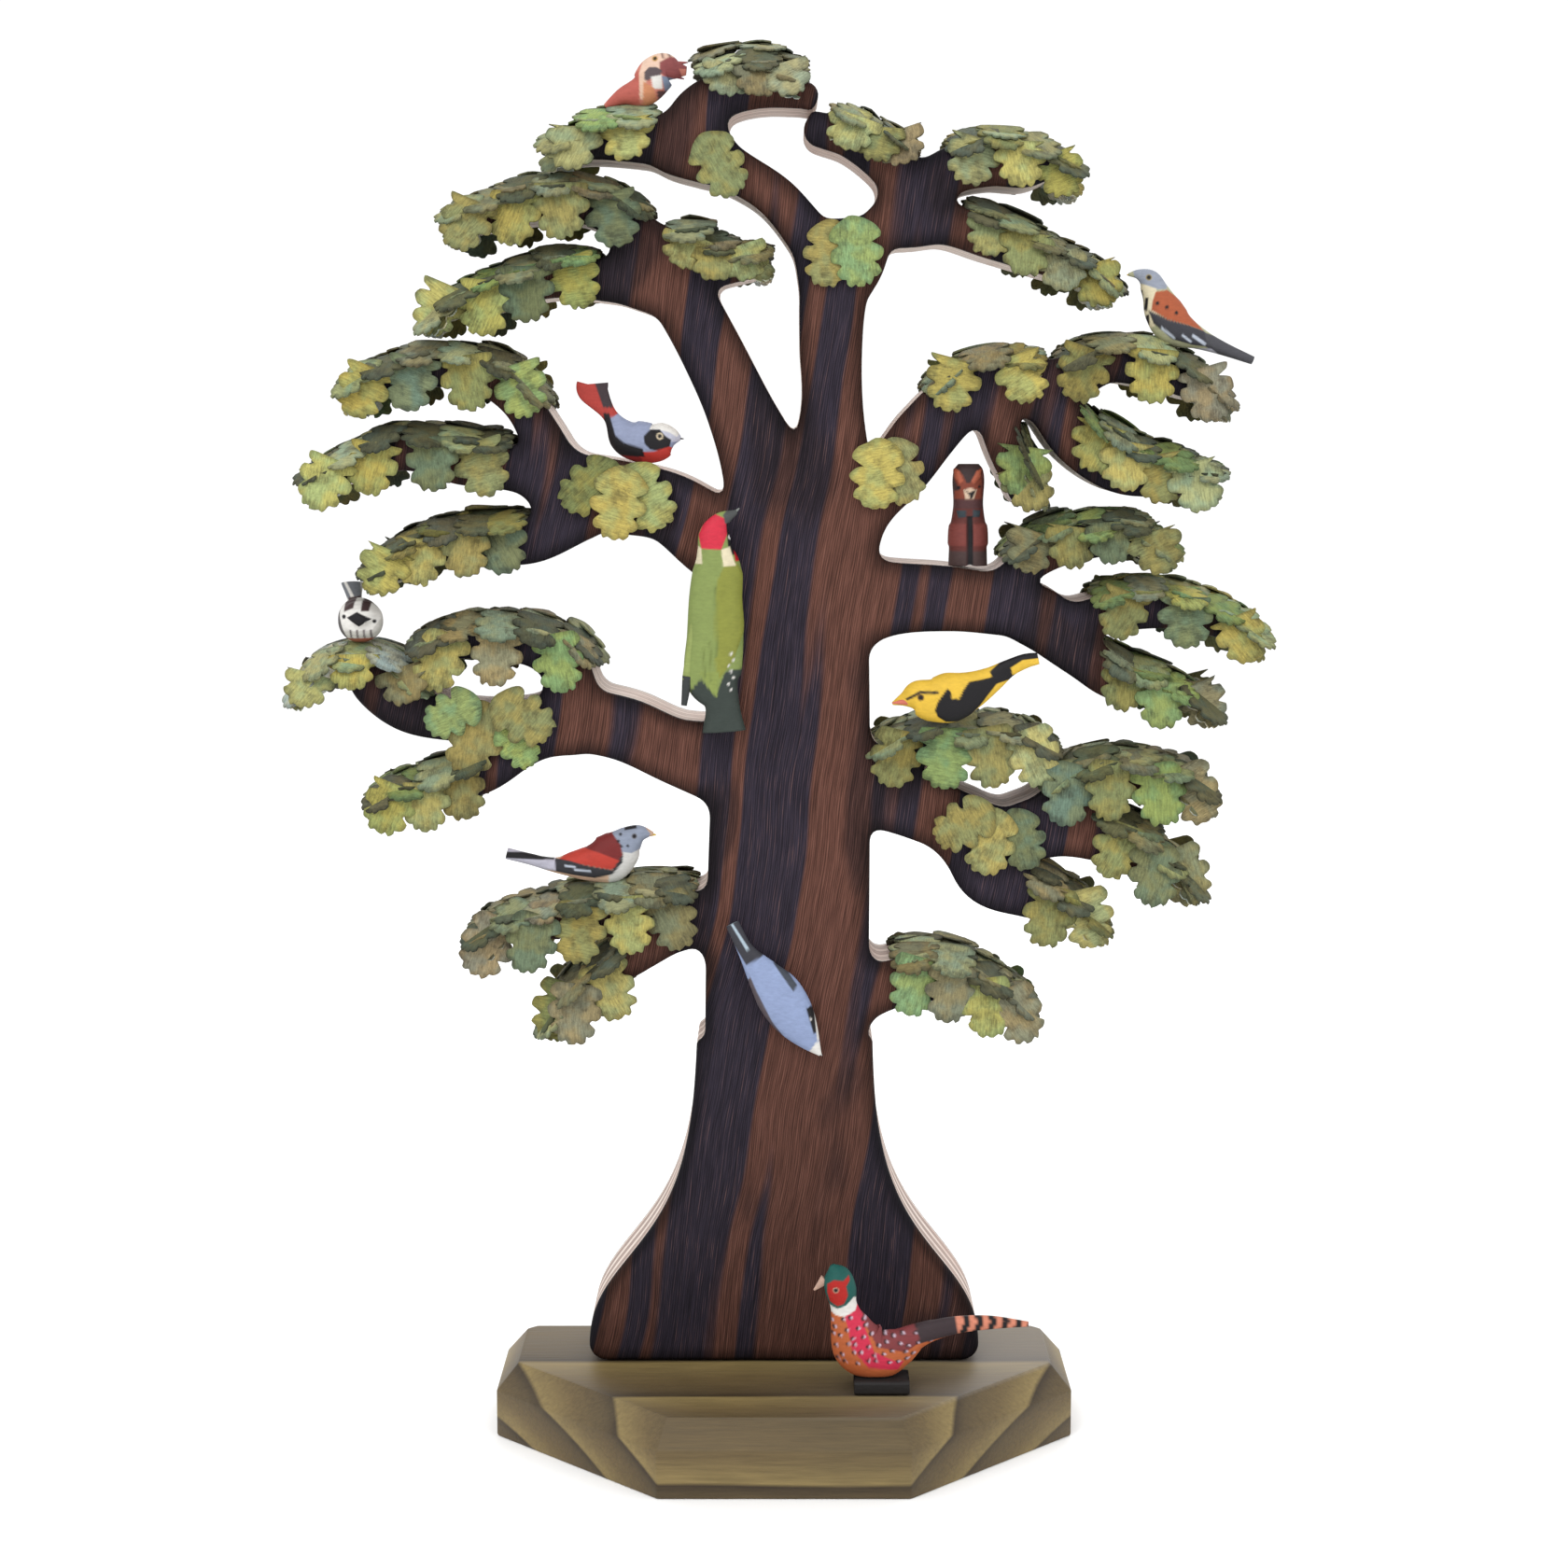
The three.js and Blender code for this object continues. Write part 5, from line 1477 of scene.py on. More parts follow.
@dataclass
class Figure:
    """One carved and painted figure: sections along a bent spine, then patches of paint.

    Sections are across, up, half height and half width in shares of the figure's length. The plan's
    squares are counted to the millimetre, and the figure's seat is at its origin. Across is where
    the figure sits, in hundredths of the tree's height. Raised paint reaches past its patch's edge.
    """

    node: str
    length: float
    sections: tuple[Section, ...]
    base: Triple
    origin: tuple[float, float]
    across: float
    marks: tuple[Dab | Spot, ...]
    spikes: tuple[Spike, ...] = ()
    turn: float = 0.0
    squares: float = 3.71
    soft: float = 1.2
    raised_soft: float = 3.0
    raised_share: float = 0.3
    front_limit: float = 0.05
    sides: int = 84
    steps: int = 14
    spike_steps: int = 4
    squareness: float = 0.9
    least: float = 0.12

    def seat(self) -> np.ndarray:
        """Where the figure stands, found from its CAD node.

        Returns:
            The place of its seat, in millimetres.
        """
        low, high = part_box(self.node)
        rows = np.array(self.sections) * self.length
        ahead = unit(np.gradient(rows[:, :2], axis=0))
        lowest = (rows[:, 1] - np.abs(ahead[:, 0]) * rows[:, 2]).min()
        return np.array([self.across * U, (low.y + high.y) / 2 / MM, low.z / MM - lowest])

    def loft(self, sections: np.ndarray, steps: int) -> tuple[np.ndarray, list[Face]]:
        """A closed body with oval sections.

        Args:
            sections: Across, up, half height and half width of each, in millimetres.
            steps: How many steps lie between two of them.

        Returns:
            Its points, lying along the first axis, and its faces.
        """
        rows = flow(sections, steps)
        rows[:, 2:] = np.maximum(rows[:, 2:], self.least)
        ahead = unit(np.gradient(rows[:, :2], axis=0))
        turn = np.arange(self.sides) * 2 * math.pi / self.sides
        round_ = np.abs(np.cos(turn)) ** self.squareness * np.sign(np.cos(turn))
        points = [rows[:1, [0, 0, 1]] * [1, 0, 1]]
        for (x, z, height, width), way in zip(rows, ahead):
            h, w = round_ * height, -np.sin(turn) * width
            points.append(np.stack([x - way[1] * h, w, z + way[0] * h], 1))
        points.append(rows[-1:, [0, 0, 1]] * [1, 0, 1])
        count = len(rows)
        rings = [list(range(1 + k * self.sides, 1 + (k + 1) * self.sides)) for k in range(count)]
        faces = [(0, rings[0][(i + 1) % self.sides], rings[0][i]) for i in range(self.sides)]
        for first, second in zip(rings[:-1], rings[1:]):
            faces += band(first, second)
        last = 1 + count * self.sides
        faces += [(rings[-1][i], rings[-1][(i + 1) % self.sides], last) for i in range(self.sides)]
        return np.vstack(points), faces

    @staticmethod
    def turned(points: np.ndarray, angle: float) -> np.ndarray:
        """Points turned about the upright axis, by degrees anticlockwise from above."""
        c, s = math.cos(math.radians(angle)), math.sin(math.radians(angle))
        return points @ np.array([[c, s, 0], [-s, c, 0], [0, 0, 1]])

    def shapes(self) -> list[tuple[np.ndarray, list[Face]]]:
        """Points and faces of each of the figure's bodies, besides its spikes."""
        points, faces = self.loft(np.array(self.sections) * self.length, self.steps)
        return [(self.turned(points, self.turn), faces)]

    def spike(self, spike: Spike) -> tuple[np.ndarray, list[Face]]:
        """Shape one spike.

        Args:
            spike: The spike.

        Returns:
            Its points and faces.
        """
        start, finish = (np.array([spike.start, spike.finish]) - self.origin) / self.squares * [1, -1]
        t = np.linspace(0, 1, self.spike_steps)[:, None]
        thick = (spike.thick[0] + (spike.thick[1] - spike.thick[0]) * t) / self.squares
        rows = np.hstack([start + (finish - start) * t, thick, thick * spike.flat])
        points, faces = self.loft(rows, self.spike_steps)
        return points + [0, spike.set_back, 0], faces

    def painted(self, points: np.ndarray, normals: np.ndarray) -> tuple[np.ndarray, np.ndarray]:
        """Paint and relief of each point.

        Args:
            points: Points from the seat, in millimetres.
            normals: Their normals.

        Returns:
            The paint, and how far each point stands out.
        """
        across = points[:, 0] * self.squares + self.origin[0]
        down = self.origin[1] - points[:, 2] * self.squares
        paint = np.tile(np.array(self.base), (len(points), 1))
        raised = np.zeros(len(points))
        for mark in self.marks:
            away = mark.away(across, down)
            cover = np.clip(0.5 - away / self.soft, 0, 1)
            if mark.front_only:
                cover = cover * (normals[:, 1] < self.front_limit)
            paint += (np.array(mark.paint) - paint) * cover[:, None]
            rise = np.clip(self.raised_share - away / self.raised_soft, 0, 1)
            raised += mark.raised * rise * (cover > 0)
        return paint, raised

    def build(self, material: bpy.types.Material) -> bpy.types.Object:
        """Build the figure.

        Args:
            material: Its finish.

        Returns:
            The piece.
        """
        clay, seat = Clay(), self.seat()
        for points, faces in self.shapes():
            normals = self.normals(points, faces)
            paint, raised = self.painted(points, normals)
            clay.add(points + normals * raised[:, None] + seat, faces, paint=paint)
        for spike in self.spikes:
            points, faces = self.spike(spike)
            clay.add(points + seat, faces, paint=np.tile(np.array(spike.paint), (len(points), 1)))
        return clay.piece(self.node + "_carving", self.node, self.node, [material])

    @staticmethod
    def normals(points: np.ndarray, faces: Sequence[Face]) -> np.ndarray:
        """Directions out of a body at its points.

        Args:
            points: The points.
            faces: The faces.

        Returns:
            One direction for each point.
        """
        total = np.zeros_like(points)
        for face in faces:
            a, b, c = points[face[0]], points[face[1]], points[face[-1]]
            total[list(face)] += np.cross(b - a, c - a)
        return total / np.maximum(np.linalg.norm(total, axis=1), 1e-12)[:, None]


@dataclass
class Squirrel(Figure):
    """The squirrel, which also has a bushy tail up its back."""

    tail: tuple[Section, ...] = (
        (0.10, 0.05, 0.07, 0.09), (0.20, 0.40, 0.10, 0.12), (0.20, 0.80, 0.09, 0.10),
        (0.16, 0.93, 0.04, 0.05))
    belly: float = 0.18

    def shapes(self) -> list[tuple[np.ndarray, list[Face]]]:
        """Points and faces of its body and of its tail."""
        points, faces = self.loft(np.array(self.tail) * self.length, self.steps)
        return super().shapes() + [(self.turned(points, 90.0), faces)]

    def seat(self) -> np.ndarray:
        """Where it sits: over the lowest corner of its CAD node, and in line with its body."""
        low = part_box(self.node)[0]
        return np.array([self.across * U, low.y / MM + self.belly * self.length, low.z / MM])


@dataclass
class Pheasant(Figure):
    """The pheasant, which stands on a small painted block."""

    block: tuple[Section, ...] = (
        (-5.0, 2.0, 1.7, 5.4), (-4.8, 2.0, 2.0, 5.9), (2.5, 2.0, 2.0, 6.0), (9.8, 2.0, 2.0, 5.9),
        (10.0, 2.0, 1.7, 5.4))
    block_half: float = 2.0
    block_reach: float = 6.0
    lift: float = 3.0

    def shapes(self) -> list[tuple[np.ndarray, list[Face]]]:
        """Its body and its block.

        Returns:
            Points and faces of each.
        """
        (points, faces), = super().shapes()
        stand, sides = self.loft(np.array(self.block), self.steps)
        up = stand[:, 2] - self.block_half
        squared = np.minimum(np.abs(up) + np.abs(stand[:, 1]) / self.block_reach, self.block_half)
        stand[:, 2] = self.block_half + np.sign(up) * squared
        return [(points + [0, 0, self.lift], faces), (stand, sides)]

    def seat(self) -> np.ndarray:
        """Where its block stands."""
        low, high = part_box(self.node)
        return np.array([self.across * U, (low.y + high.y) / 2 / MM, low.z / MM])


SLATE = (0.50, 0.55, 0.64)
FIGURES = (
    Figure("jay", 24, (
        (-0.47, 0.02, 0.03, 0.03), (-0.26, 0.14, 0.1, 0.09), (-0.02, 0.21, 0.19, 0.13),
        (0.13, 0.38, 0.22, 0.14), (0.24, 0.46, 0.18, 0.12), (0.38, 0.44, 0.1, 0.07),
        (0.49, 0.43, 0.05, 0.02),
    ), (0.56, 0.20, 0.15), (690, 118), -10.6, (
        Dab((0.74, 0.52, 0.40), "684,84 690,64 700,57 716,55 728,62 727,72 712,78 700,80 692,88"),
        Dab((0.70, 0.48, 0.36), "684,84 692,80 692,110 685,110"),
        Dab((0.46, 0.11, 0.085), "648,118 652,104 684,80 685,114"),
        Dab((0.26, 0.07, 0.07), "706,72 716,66 727,66 736,70 736,78 726,78 731,92 720,93 706,82"),
        Dab((0.10, 0.075, 0.08), "690,82 695,77 703,77 709,81 706,86 698,87 694,91 690,90"),
        Dab(WHITE, "697,87 708,85 709,99 699,99"), Dab((0.20, 0.25, 0.35), "708,86 722,88 723,98 711,101"),
        Dab((0.58, 0.24, 0.12), "689,92 700,98 704,116 688,115"),
        Dab((0.10, 0.05, 0.05), "703,101 724,100 724,120 705,121"),
        Dab((0.25, 0.15, 0.12), "706,58 709,57 711,68 708,68"),
        Dab((0.25, 0.15, 0.12), "713,58 716,57 718,66 715,66"),
        Dab((0.25, 0.15, 0.12), "720,61 723,60 724,66 721,66"),
        Spot((0.55, 0.30, 0.06), 701, 68, 3.0), Spot(INK, 701, 68, 2.0),
    ), (
        Spike((0.28, 0.08, 0.075), (704, 74), (735, 71), (5.5, 0.6)),
        Spike((0.20, 0.045, 0.06), (704, 80), (731, 88), (4.5, 0.6)),
    )),
    Figure("redstart", 31, (
        (-0.5, 0.73, 0.145, 0.03), (-0.49, 0.66, 0.14, 0.03), (-0.34, 0.44, 0.07, 0.04),
        (-0.21, 0.26, 0.16, 0.1), (-0.07, 0.2, 0.19, 0.13), (0.07, 0.19, 0.18, 0.13),
        (0.17, 0.23, 0.15, 0.1), (0.24, 0.24, 0.09, 0.07), (0.31, 0.23, 0.02, 0.02),
    ), (0.28, 0.32, 0.46), (692, 499), -10.6, (
        Dab((0.42, 0.05, 0.04), "592,400 656,400 662,446 640,458 596,430"),
        Dab((0.05, 0.035, 0.04), "632,400 649,400 656,440 646,440"),
        Dab(INK, "646,446 652,446 659,470 672,488 690,492 688,498 664,494 648,472"),
        Dab((0.52, 0.53, 0.63), "696,446 716,448 734,460 732,476 702,476"),
        Dab(WHITE, "695,463 698,457 710,455 722,459 728,464 724,471 716,466 704,463"),
        Dab(INK, "689,470 696,463 706,463 712,470 718,474 716,482 708,486 696,484 690,478"),
        Dab((0.50, 0.04, 0.03), "684,487 700,486 716,481 724,484 712,498 690,503 684,500"),
        Dab((0.26, 0.02, 0.02), "660,490 686,492 690,506 664,502"),
        Dab(INK, "657,468 668,477 688,483 690,492 672,490 658,484"),
        Spot((0.62, 0.52, 0.36), 706, 470, 3.6), Spot(INK, 706, 470, 2.2),
    ), (
        Spike(INK, (716, 472), (731, 473), (2.6, 0.5)),
    )),
    Figure("fieldfare", 39, (
        (0.66, -0.12, 0.03, 0.04), (0.43, -0.03, 0.05, 0.05), (0.26, 0.04, 0.08, 0.08),
        (0.09, 0.12, 0.14, 0.1), (0, 0.24, 0.14, 0.1), (-0.06, 0.37, 0.1, 0.08),
        (-0.11, 0.46, 0.08, 0.07), (-0.18, 0.5, 0.04, 0.03), (-0.26, 0.5, 0.01, 0.01),
    ), (0.43, 0.43, 0.27), (1250, 360), 29.2, (
        Dab((0.30, 0.33, 0.40), "1217,284 1232,278 1247,281 1256,291 1252,303 1236,304 1220,296"),
        Dab(CREAM, "1213,298 1222,296 1241,303 1243,340 1230,347 1212,325"),
        Dab((0.40, 0.10, 0.042), "1237,316 1240,306 1253,304 1267,314 1280,332 1292,347 1275,341 "
                                 "1253,335 1236,325"),
        Dab((0.045, 0.045, 0.055), "1233,325 1253,335 1275,341 1292,347 1300,355 1303,364 1280,361 "
                                   "1258,355 1239,339", False, 0.3),
        Dab(SLATE, "1247,342 1261,353 1261,356 1246,345"), Dab(SLATE, "1269,350 1279,357 1278,359 1268,352"),
        Dab(SLATE, "1280,350 1294,359 1293,362 1279,353"),
        Dab((0.070, 0.070, 0.080), "1292,348 1356,366 1350,392 1296,366"),
        Dab((0.50, 0.50, 0.52), "1300,370 1346,385 1342,392 1298,375"),
        Dab((0.50, 0.50, 0.58), "1268,364 1300,365 1312,373 1272,379"),
        Dab(INK, "1224,304 1227,304 1229,316 1226,316"), Dab(INK, "1230,312 1233,312 1232,326 1229,325"),
        Dab(INK, "1221,322 1224,321 1228,334 1225,335"), Dab(INK, "1231,330 1234,329 1235,340 1232,340"),
        Spot(INK, 1242, 318, 2.0), Spot(INK, 1252, 322, 2.0), Spot(INK, 1262, 328, 2.0),
        Spot((0.35, 0.28, 0.12), 1233, 291, 3.2), Spot(INK, 1233, 291, 2.3),
    ), (
        Spike((0.72, 0.47, 0.05), (1223, 288), (1211, 288), (3.4, 0.6)),
    )),
    Squirrel("squirrel", 29.5, (
        (0, 0, 0.19, 0.16), (0, 0.15, 0.185, 0.18), (0, 0.34, 0.18, 0.16), (0, 0.5, 0.155, 0.14),
        (0, 0.62, 0.145, 0.15), (0, 0.82, 0.155, 0.14), (0, 0.93, 0.14, 0.10), (0, 0.985, 0.10, 0.05),
    ), (0.115, 0.030, 0.025), (1033, 607), 14.3, (
        Dab((0.085, 0.035, 0.036), "1010,536 1056,536 1056,546 1010,546"),
        Dab((0.23, 0.055, 0.032), "1018,503 1046,503 1047,536 1018,536", True),
        Dab((0.050, 0.030, 0.030), "1014,494 1050,494 1046,502 1040,511 1034,519 1030,519 1026,510 1018,502"),
        Dab((0.055, 0.030, 0.028), "1008,502 1017,502 1016,512 1023,526 1017,528 1008,524", True),
        Dab((0.42, 0.11, 0.060), "1017,504 1023,506 1027,517 1023,520 1018,513", True, 0.5),
        Dab((0.42, 0.11, 0.060), "1041,506 1046,505 1045,513 1038,520 1035,517", True, 0.5),
        Dab((0.70, 0.52, 0.38), "1027,526 1034,524 1041,526 1038,536 1029,536", True, 0.5),
        Dab(INK, "1028,526 1033,529 1040,526 1038,530 1036,535 1034,536 1033,532", True),
        Dab((0.035, 0.050, 0.060), "1020,548 1030,548 1030,555 1022,556", True, 0.5),
        Dab((0.035, 0.050, 0.060), "1037,547 1045,548 1044,555 1037,555", True, 0.5),
        Dab((0.19, 0.046, 0.038), "1009,562 1031,562 1031,586 1009,586", True, 0.4),
        Dab((0.19, 0.046, 0.038), "1037,562 1058,562 1058,586 1037,586", True, 0.4),
        Dab((0.070, 0.042, 0.040), "1006,591 1031,591 1031,611 1006,611"),
        Dab((0.070, 0.042, 0.040), "1037,591 1062,591 1062,611 1037,611"),
        # painted shadow: a black line, set in a little, in the gap between the legs
        Dab(INK, "1031,554 1037,554 1038,608 1031,608", True, -0.7),
        Spot(INK, 1022, 524, 2.0, True), Spot(INK, 1044, 523, 1.6, True),
    )),
    Figure("green_woodpecker", 62, (
        (0.01, 0, 0.1, 0.05), (0, 0.13, 0.08, 0.05), (-0.04, 0.25, 0.13, 0.06),
        (-0.03, 0.44, 0.13, 0.07), (-0.03, 0.61, 0.12, 0.07), (-0.02, 0.75, 0.11, 0.07),
        (-0.03, 0.84, 0.08, 0.06), (-0.03, 0.91, 0.07, 0.05), (0, 0.97, 0.04, 0.03),
        (0.07, 1.01, 0.01, 0.01),
    ), (0.235, 0.30, 0.09), (774, 781), -4.8, (
        Dab((0.040, 0.052, 0.045), "736,744 752,724 768,742 778,716 806,712 808,790 740,790"),
        Dab((0.25, 0.27, 0.050), "779,601 790,602 799,616 803,640 797,675 786,705 772,724 768,715 "
                                 "767,660 769,622", False, 0.35),
        Dab((0.25, 0.31, 0.080), "750,716 772,716 769,745 760,734"),
        Dab((0.62, 0.03, 0.06), "750,573 757,556 768,551 783,558 780,573 774,588 753,587"),
        Dab((0.075, 0.080, 0.080), "778,561 776,552 786,538 808,528 808,548 792,562"),
        Dab(INK, "779,561 794,556 795,594 782,593"), Spot(WHITE, 784, 575, 2.8),
        Dab((0.45, 0.01, 0.02), "786,583 792,583 794,600 789,601"),
        Dab(CREAM, "742,578 753,587 754,603 742,603"), Dab(CREAM, "774,588 783,585 789,605 776,605"),
        *(Dab((0.17, 0.22, 0.060), f"{x},{top} {x + 2},{top} {x + 3.4},{low} {x + 1},{low}")
          for x, top, low in ((754, 690, 722), (761, 684, 728), (767, 626, 700))),
        *(Spot(WHITE, 784 + 3 * math.sin(k * 2.1), 697 + 6.5 * k, 1.4) for k in range(7)),
    ), (
        Spike((0.20, 0.21, 0.20), (779, 558), (793, 545), (4.2, 0.7)),
        Spike((0.29, 0.35, 0.11), (757, 606), (737, 726), (8.0, 5.0), 0.8, -1.4),
        Spike((0.040, 0.045, 0.045), (738, 722), (734, 753), (5.6, 3.0), 0.8, -1.4),
    )),
    Figure("tit", 19, (
        (-0.55, 0.86, 0.05, 0.17), (-0.36, 0.6, 0.09, 0.12), (-0.16, 0.4, 0.3, 0.28),
        (0.1, 0.33, 0.33, 0.33), (0.3, 0.36, 0.28, 0.31), (0.42, 0.38, 0.17, 0.2),
        (0.5, 0.36, 0.05, 0.05),
    ), (0.60, 0.58, 0.54), (383, 690), -33.2, (
        Dab((0.17, 0.18, 0.20), "334,618 378,618 382,642 360,660"),
        Dab(WHITE, "349,626 352,626 372,650 369,652"), Dab(WHITE, "360,624 363,624 377,646 374,648"),
        Dab(WHITE, "358,648 404,644 410,662 400,676 366,676 358,664", True),
        Dab((0.06, 0.035, 0.035), "369,644 382,642 381,652 371,656"),
        Dab((0.06, 0.035, 0.035), "389,643 399,643 398,655 390,655"),
        Dab((0.07, 0.06, 0.06), "358,655 364,656 369,674 374,688 364,684 357,670", True),
        Dab(INK, "375,662 386,656 400,663 387,671", True, 0.9),
        *(Dab((0.10, 0.08, 0.08), f"{x},675 {x + 2},675 {x + 2},685 {x},685", True)
          for x in (377, 384, 391, 398)),
        Dab((0.32, 0.10, 0.06), "358,685 408,684 408,698 358,698"),
        Spot(INK, 371, 661, 2.3, True), Spot(INK, 403, 666, 2.0, True),
    ), turn=-72.0),
    Figure("golden_oriole", 42, (
        (0.62, 0.44, 0.04, 0.03), (0.53, 0.42, 0.05, 0.04), (0.42, 0.37, 0.06, 0.04),
        (0.3, 0.29, 0.09, 0.06), (0.17, 0.22, 0.13, 0.09), (0.03, 0.17, 0.17, 0.11),
        (-0.1, 0.15, 0.15, 0.1), (-0.21, 0.17, 0.11, 0.08), (-0.29, 0.15, 0.05, 0.04),
        (-0.37, 0.12, 0.01, 0.01),
    ), (0.78, 0.50, 0.055), (1013, 771), 12.6, (
        Dab(INK, "1000,757 1003,748 1010,738 1013,734 1017,738 1017,744 1025,745 1030,735 1036,727 "
                 "1048,725 1060,722 1070,722 1062,733 1055,742 1048,752 1038,763 1025,770 1012,770 "
                 "1003,764", False, 0.35),
        Dab(INK, "1058,716 1080,697 1124,690 1124,712 1082,724 1062,730"),
        Dab((0.78, 0.50, 0.055), "1080,712 1092,704 1124,700 1124,716 1096,718 1082,720"),
        Dab((0.05, 0.035, 0.02), "969,746 984,737 1004,737 1004,740 985,740 971,748"),
        Spot((0.20, 0.10, 0.03), 985, 744, 3.6), Spot(INK, 985, 744, 2.6),
    ), (
        Spike((0.62, 0.17, 0.12), (976, 749), (955, 751), (4.6, 0.7)),
    ), turn=-6.0),
    Figure("linnet", 42, (
        (-0.64, 0.21, 0.04, 0.04), (-0.48, 0.17, 0.04, 0.04), (-0.32, 0.13, 0.05, 0.05),
        (-0.18, 0.13, 0.09, 0.08), (-0.05, 0.14, 0.13, 0.1), (0.06, 0.17, 0.17, 0.1),
        (0.15, 0.24, 0.15, 0.1), (0.22, 0.31, 0.1, 0.08), (0.29, 0.35, 0.06, 0.05),
        (0.38, 0.35, 0.01, 0.01),
    ), (0.60, 0.40, 0.28), (640, 947), -14.6, (
        Dab((0.66, 0.65, 0.63), "664,905 702,898 698,926 672,946 650,950 652,934 664,920"),
        Dab((0.27, 0.31, 0.40), "652,908 655,889 668,878 686,880 696,892 691,906 676,912"),
        Dab((0.18, 0.022, 0.022), "612,904 641,892 654,890 664,902 667,914 660,924 640,914 614,912"),
        Dab((0.48, 0.048, 0.032), "594,922 608,912 622,907 640,911 664,920 655,930 627,925 605,922",
            False, 0.2),
        Dab((0.030, 0.030, 0.035), "580,918 610,921 627,925 655,930 661,922 667,912 666,922 655,935 "
                                   "636,939 612,936 580,930", False, 0.3),
        Dab(SLATE, "604,925 616,926 616,928 604,927"), Dab(SLATE, "614,929 632,930 632,932 614,931"),
        Dab((0.45, 0.44, 0.52), "530,900 592,904 594,932 530,930"),
        Dab(INK, "530,911 592,914 592,921 530,918"),
        Dab(INK, "668,885 681,883 681,886 668,888"), Spot(INK, 664, 892, 1.6), Spot(INK, 662, 899, 1.6),
        Spot(INK, 665, 904, 1.4), Spot(INK, 672, 904, 1.4),
        Spot((0.20, 0.20, 0.22), 679, 894, 3.0), Spot(INK, 679, 894, 2.2),
    ), (
        Spike((0.66, 0.42, 0.05), (687, 893), (702, 894), (4.2, 0.7)),
    )),
    Figure("nuthatch", 49, (
        (-0.26, 0.41, 0.04, 0.02), (-0.18, 0.25, 0.05, 0.03), (-0.08, 0.11, 0.1, 0.05),
        (0.01, -0.01, 0.14, 0.07), (0.1, -0.15, 0.13, 0.07), (0.18, -0.27, 0.08, 0.05),
        (0.26, -0.38, 0.01, 0.01),
    ), (0.28, 0.35, 0.55), (832, 1060), -0.6, (
        Dab((0.045, 0.045, 0.055), "768,978 798,974 826,1014 800,1030"),
        Dab((0.42, 0.52, 0.60), "781,982 783,981 803,1012 800,1014"),
        Dab((0.060, 0.070, 0.090), "829,1028 836,1025 855,1052 850,1057"),
        Dab(INK, "864,1076 871,1074 879,1102 872,1104"), Dab(WHITE, "872,1074 884,1078 886,1112 876,1112"),
        Dab((0.10, 0.08, 0.09), "804,1042 810,1056 828,1092 846,1116 838,1120 816,1092 798,1052"),
        Dab(WHITE, "868,1124 874,1115 884,1110 888,1136 866,1134"), Spot(WHITE, 869, 1088, 1.2),
    ), (
        Spike((0.50, 0.50, 0.48), (868, 1108), (881, 1130), (4.4, 0.7)),
    )),
    Pheasant("pheasant", 62, (
        (0.72, 0.262, 0.012, 0.01), (0.54, 0.27, 0.032, 0.025), (0.37, 0.255, 0.042, 0.03),
        (0.22, 0.21, 0.055, 0.04), (0.12, 0.15, 0.09, 0.06), (0.03, 0.12, 0.12, 0.08),
        (-0.06, 0.16, 0.13, 0.08), (-0.11, 0.26, 0.09, 0.07), (-0.135, 0.35, 0.062, 0.055),
        (-0.15, 0.43, 0.072, 0.06), (-0.17, 0.5, 0.06, 0.055), (-0.19, 0.545, 0.01, 0.01),
    ), (0.50, 0.125, 0.040), (935, 1487), 6.9, (
        Dab((0.012, 0.100, 0.085), "860,1330 925,1330 925,1352 922,1390 900,1396 870,1386"),
        Dab((0.45, 0.020, 0.016), "886,1368 893,1363 903,1364 909,1359 910,1364 906,1370 908,1380 "
                                  "904,1389 897,1392 889,1388 886,1378"),
        Dab((0.62, 0.030, 0.075), "904,1402 918,1388 926,1398 926,1415 936,1440 960,1452 968,1452 "
                                  "962,1462 930,1458 912,1436 908,1415"),
        Dab(WHITE, "888,1392 897,1395 906,1391 914,1383 921,1386 916,1397 904,1403 895,1402 886,1398"),
        Dab((0.21, 0.042, 0.046), "918,1388 930,1393 950,1402 985,1405 1000,1412 1000,1425 985,1432 "
                                  "970,1442 940,1436 928,1415", False, 0.25),
        *(Spot(paint, 890 + 11 * (k % 10) + 5 * (k // 10 % 2) + 2 * math.sin(k * 2.3) + dx,
               1406 + 9 * (k // 10) + 2 * math.cos(k * 1.7), radius) for k in range(60)
          for paint, dx, radius in (((0.045, 0.018, 0.020), 0, 2.1), ((0.60, 0.46, 0.55), 2.0, 1.4))),
        Dab((0.66, 0.24, 0.15), "1018,1380 1124,1380 1124,1440 1018,1440"),
        Dab((0.045, 0.030, 0.034), "978,1400 1022,1396 1026,1426 985,1434"),
        *(Dab(INK, f"{x},1392 {x + 7},1392 {x + 15},1411 {x + 7},1434 {x},1434 {x + 8},1411")
          for x in range(1024, 1108, 14)),
        Dab((0.020, 0.018, 0.018), "905,1470 992,1470 992,1492 905,1492"),
        Spot((0.60, 0.42, 0.30), 895, 1374, 3.0), Spot(INK, 895, 1374, 2.3),
    ), (
        Spike((0.55, 0.36, 0.28), (884, 1366), (872, 1378), (6.0, 1.0)),
    ), squares=3.72),
)


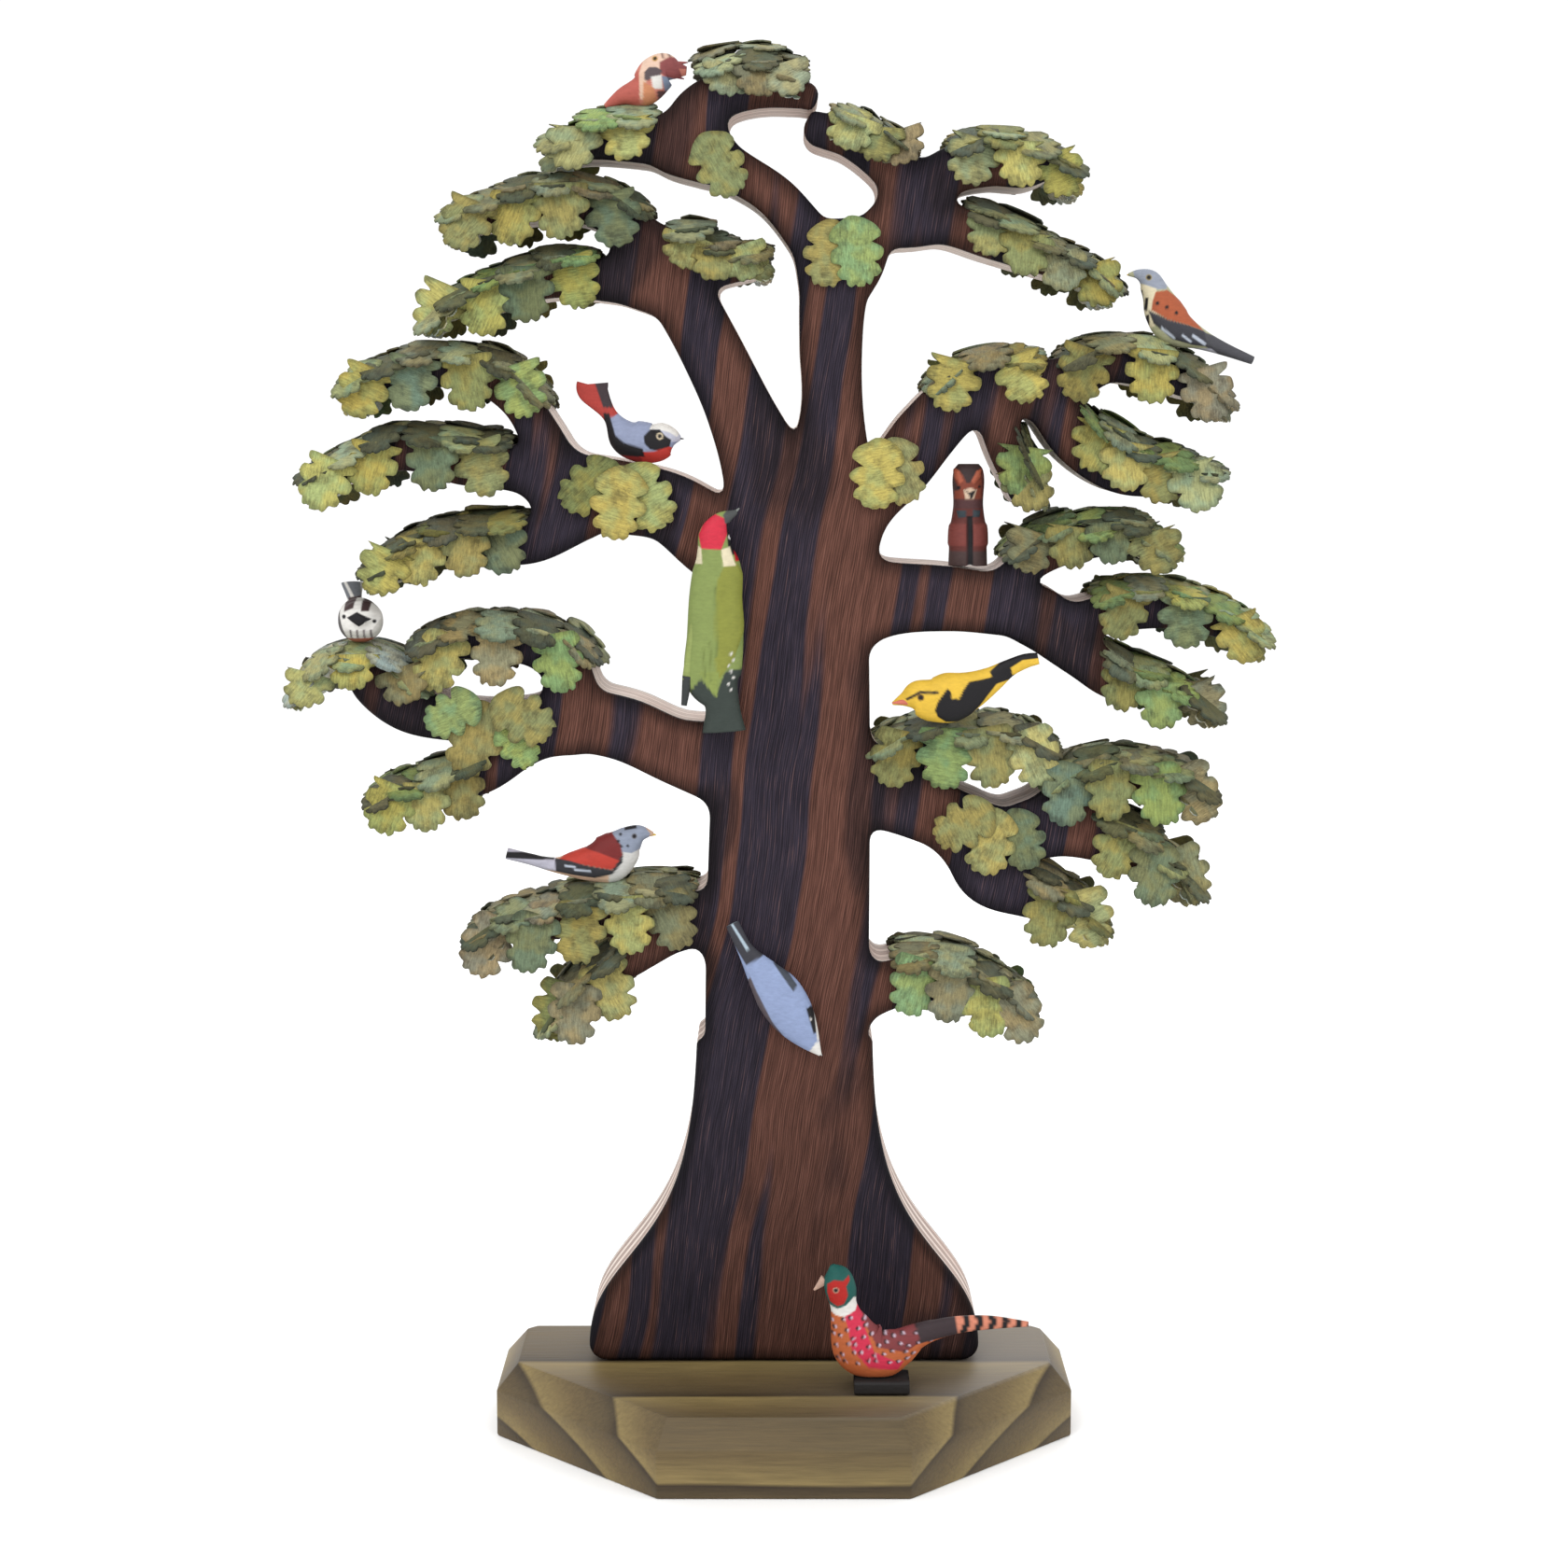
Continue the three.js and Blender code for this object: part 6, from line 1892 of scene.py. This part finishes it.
@dataclass
class Studio:
    """Pale floor, soft lights and the camera at the photograph's angle, in metres."""

    camera_place: Triple = (0.0, -0.8258, 0.3052)
    pitch: float = 7.58
    lens: float = 66.8
    sensor: float = 36.0
    brightness: float = 1.07
    aim: Triple = (0.0, 0.0, 0.2)
    lamps: tuple[tuple[str, Triple, float, float], ...] = (
        ("key", (-0.55, -0.95, 1.25), 0.9, 9.0), ("fill", (0.9, -0.8, 0.7), 0.9, 3.0),
        ("rear", (0.2, 1.2, 1.1), 1.0, 6.0))
    floor_half: float = 6.0
    floor_paint: Triple = (0.975, 0.975, 0.975)

    def build(self) -> None:
        """Build floor, world, lights and camera."""
        self.floor()
        self.world()
        bpy.context.scene.view_settings.view_transform = "Standard"
        for lamp in self.lamps:
            self.lamp(*lamp)
        data = bpy.data.cameras.new("camera")
        data.lens, data.sensor_width = self.lens, self.sensor
        data.clip_start, data.clip_end = 0.01, 50.0
        camera = bpy.data.objects.new("camera", data)
        camera.location = self.camera_place
        camera.rotation_euler = (math.radians(90.0 - self.pitch), 0.0, 0.0)
        bpy.context.scene.collection.objects.link(camera)
        bpy.context.scene.camera = camera

    def floor(self) -> None:
        """Lay the floor."""
        mesh = bpy.data.meshes.new("floor")
        size = self.floor_half
        mesh.from_pydata([(-size, -size, 0), (size, -size, 0), (size, size, 0), (-size, size, 0)], [],
                         [(0, 1, 2, 3)])
        mesh.materials.append(Graph("floor_paper").finish(self.floor_paint, 0.9, None, 0.0))
        floor = bpy.data.objects.new("floor", mesh)
        bpy.context.scene.collection.objects.link(floor)

    def world(self) -> None:
        """Light the room evenly."""
        world = bpy.data.worlds.new("room")
        world.use_nodes = True
        shade = world.node_tree.nodes["Background"]
        shade.inputs[0].default_value = (1.0, 1.0, 1.0, 1.0)
        shade.inputs[1].default_value = self.brightness
        bpy.context.scene.world = world

    def lamp(self, name: str, place: Sequence[float], size: float, power: float) -> None:
        """Hang a soft square lamp.

        Args:
            name: Its name.
            place: Where it hangs.
            size: Its side, in metres.
            power: Its power, in watts.
        """
        data = bpy.data.lights.new(name, "AREA")
        data.shape, data.size, data.energy = "SQUARE", size, power
        lamp = bpy.data.objects.new(name, data)
        lamp.location = place
        lamp.rotation_euler = (Vector(self.aim) - Vector(place)).to_track_quat("-Z", "Y").to_euler()
        bpy.context.scene.collection.objects.link(lamp)


def corners(box: tuple[Vector, Vector]) -> list[list[float]]:
    """A box's corners as plain lists."""
    return [list(box[0]), list(box[1])]


def main() -> None:
    """Build every piece in order."""
    logging.basicConfig(level=logging.INFO, format="%(name)s %(message)s")
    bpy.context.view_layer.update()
    Studio().build()
    plan = Plan()
    Plinth().build(PlinthWood().material())
    Board(plan).build([StainedWood().material(), LayeredEdge().material()])
    foliage = Foliage(plan, LeafCut())
    finishes = {slot: LeafPaint(slot).material() for slot in LEAF_SLOTS}
    for number, spray in enumerate(SPRAYS):
        slot = LEAF_SLOTS[number % len(LEAF_SLOTS)]
        foliage.spray(spray, finishes[slot], slot)
    for number, (node, leaves) in enumerate(FLAT_LEAVES.items()):
        slot = LEAF_SLOTS[(number + 1) % len(LEAF_SLOTS)]
        foliage.flat(node, leaves, finishes[slot], slot)
    for figure in FIGURES:
        figure.build(FigurePaint(figure.node + "_paint").material())


if __name__ == "__main__":
    main()
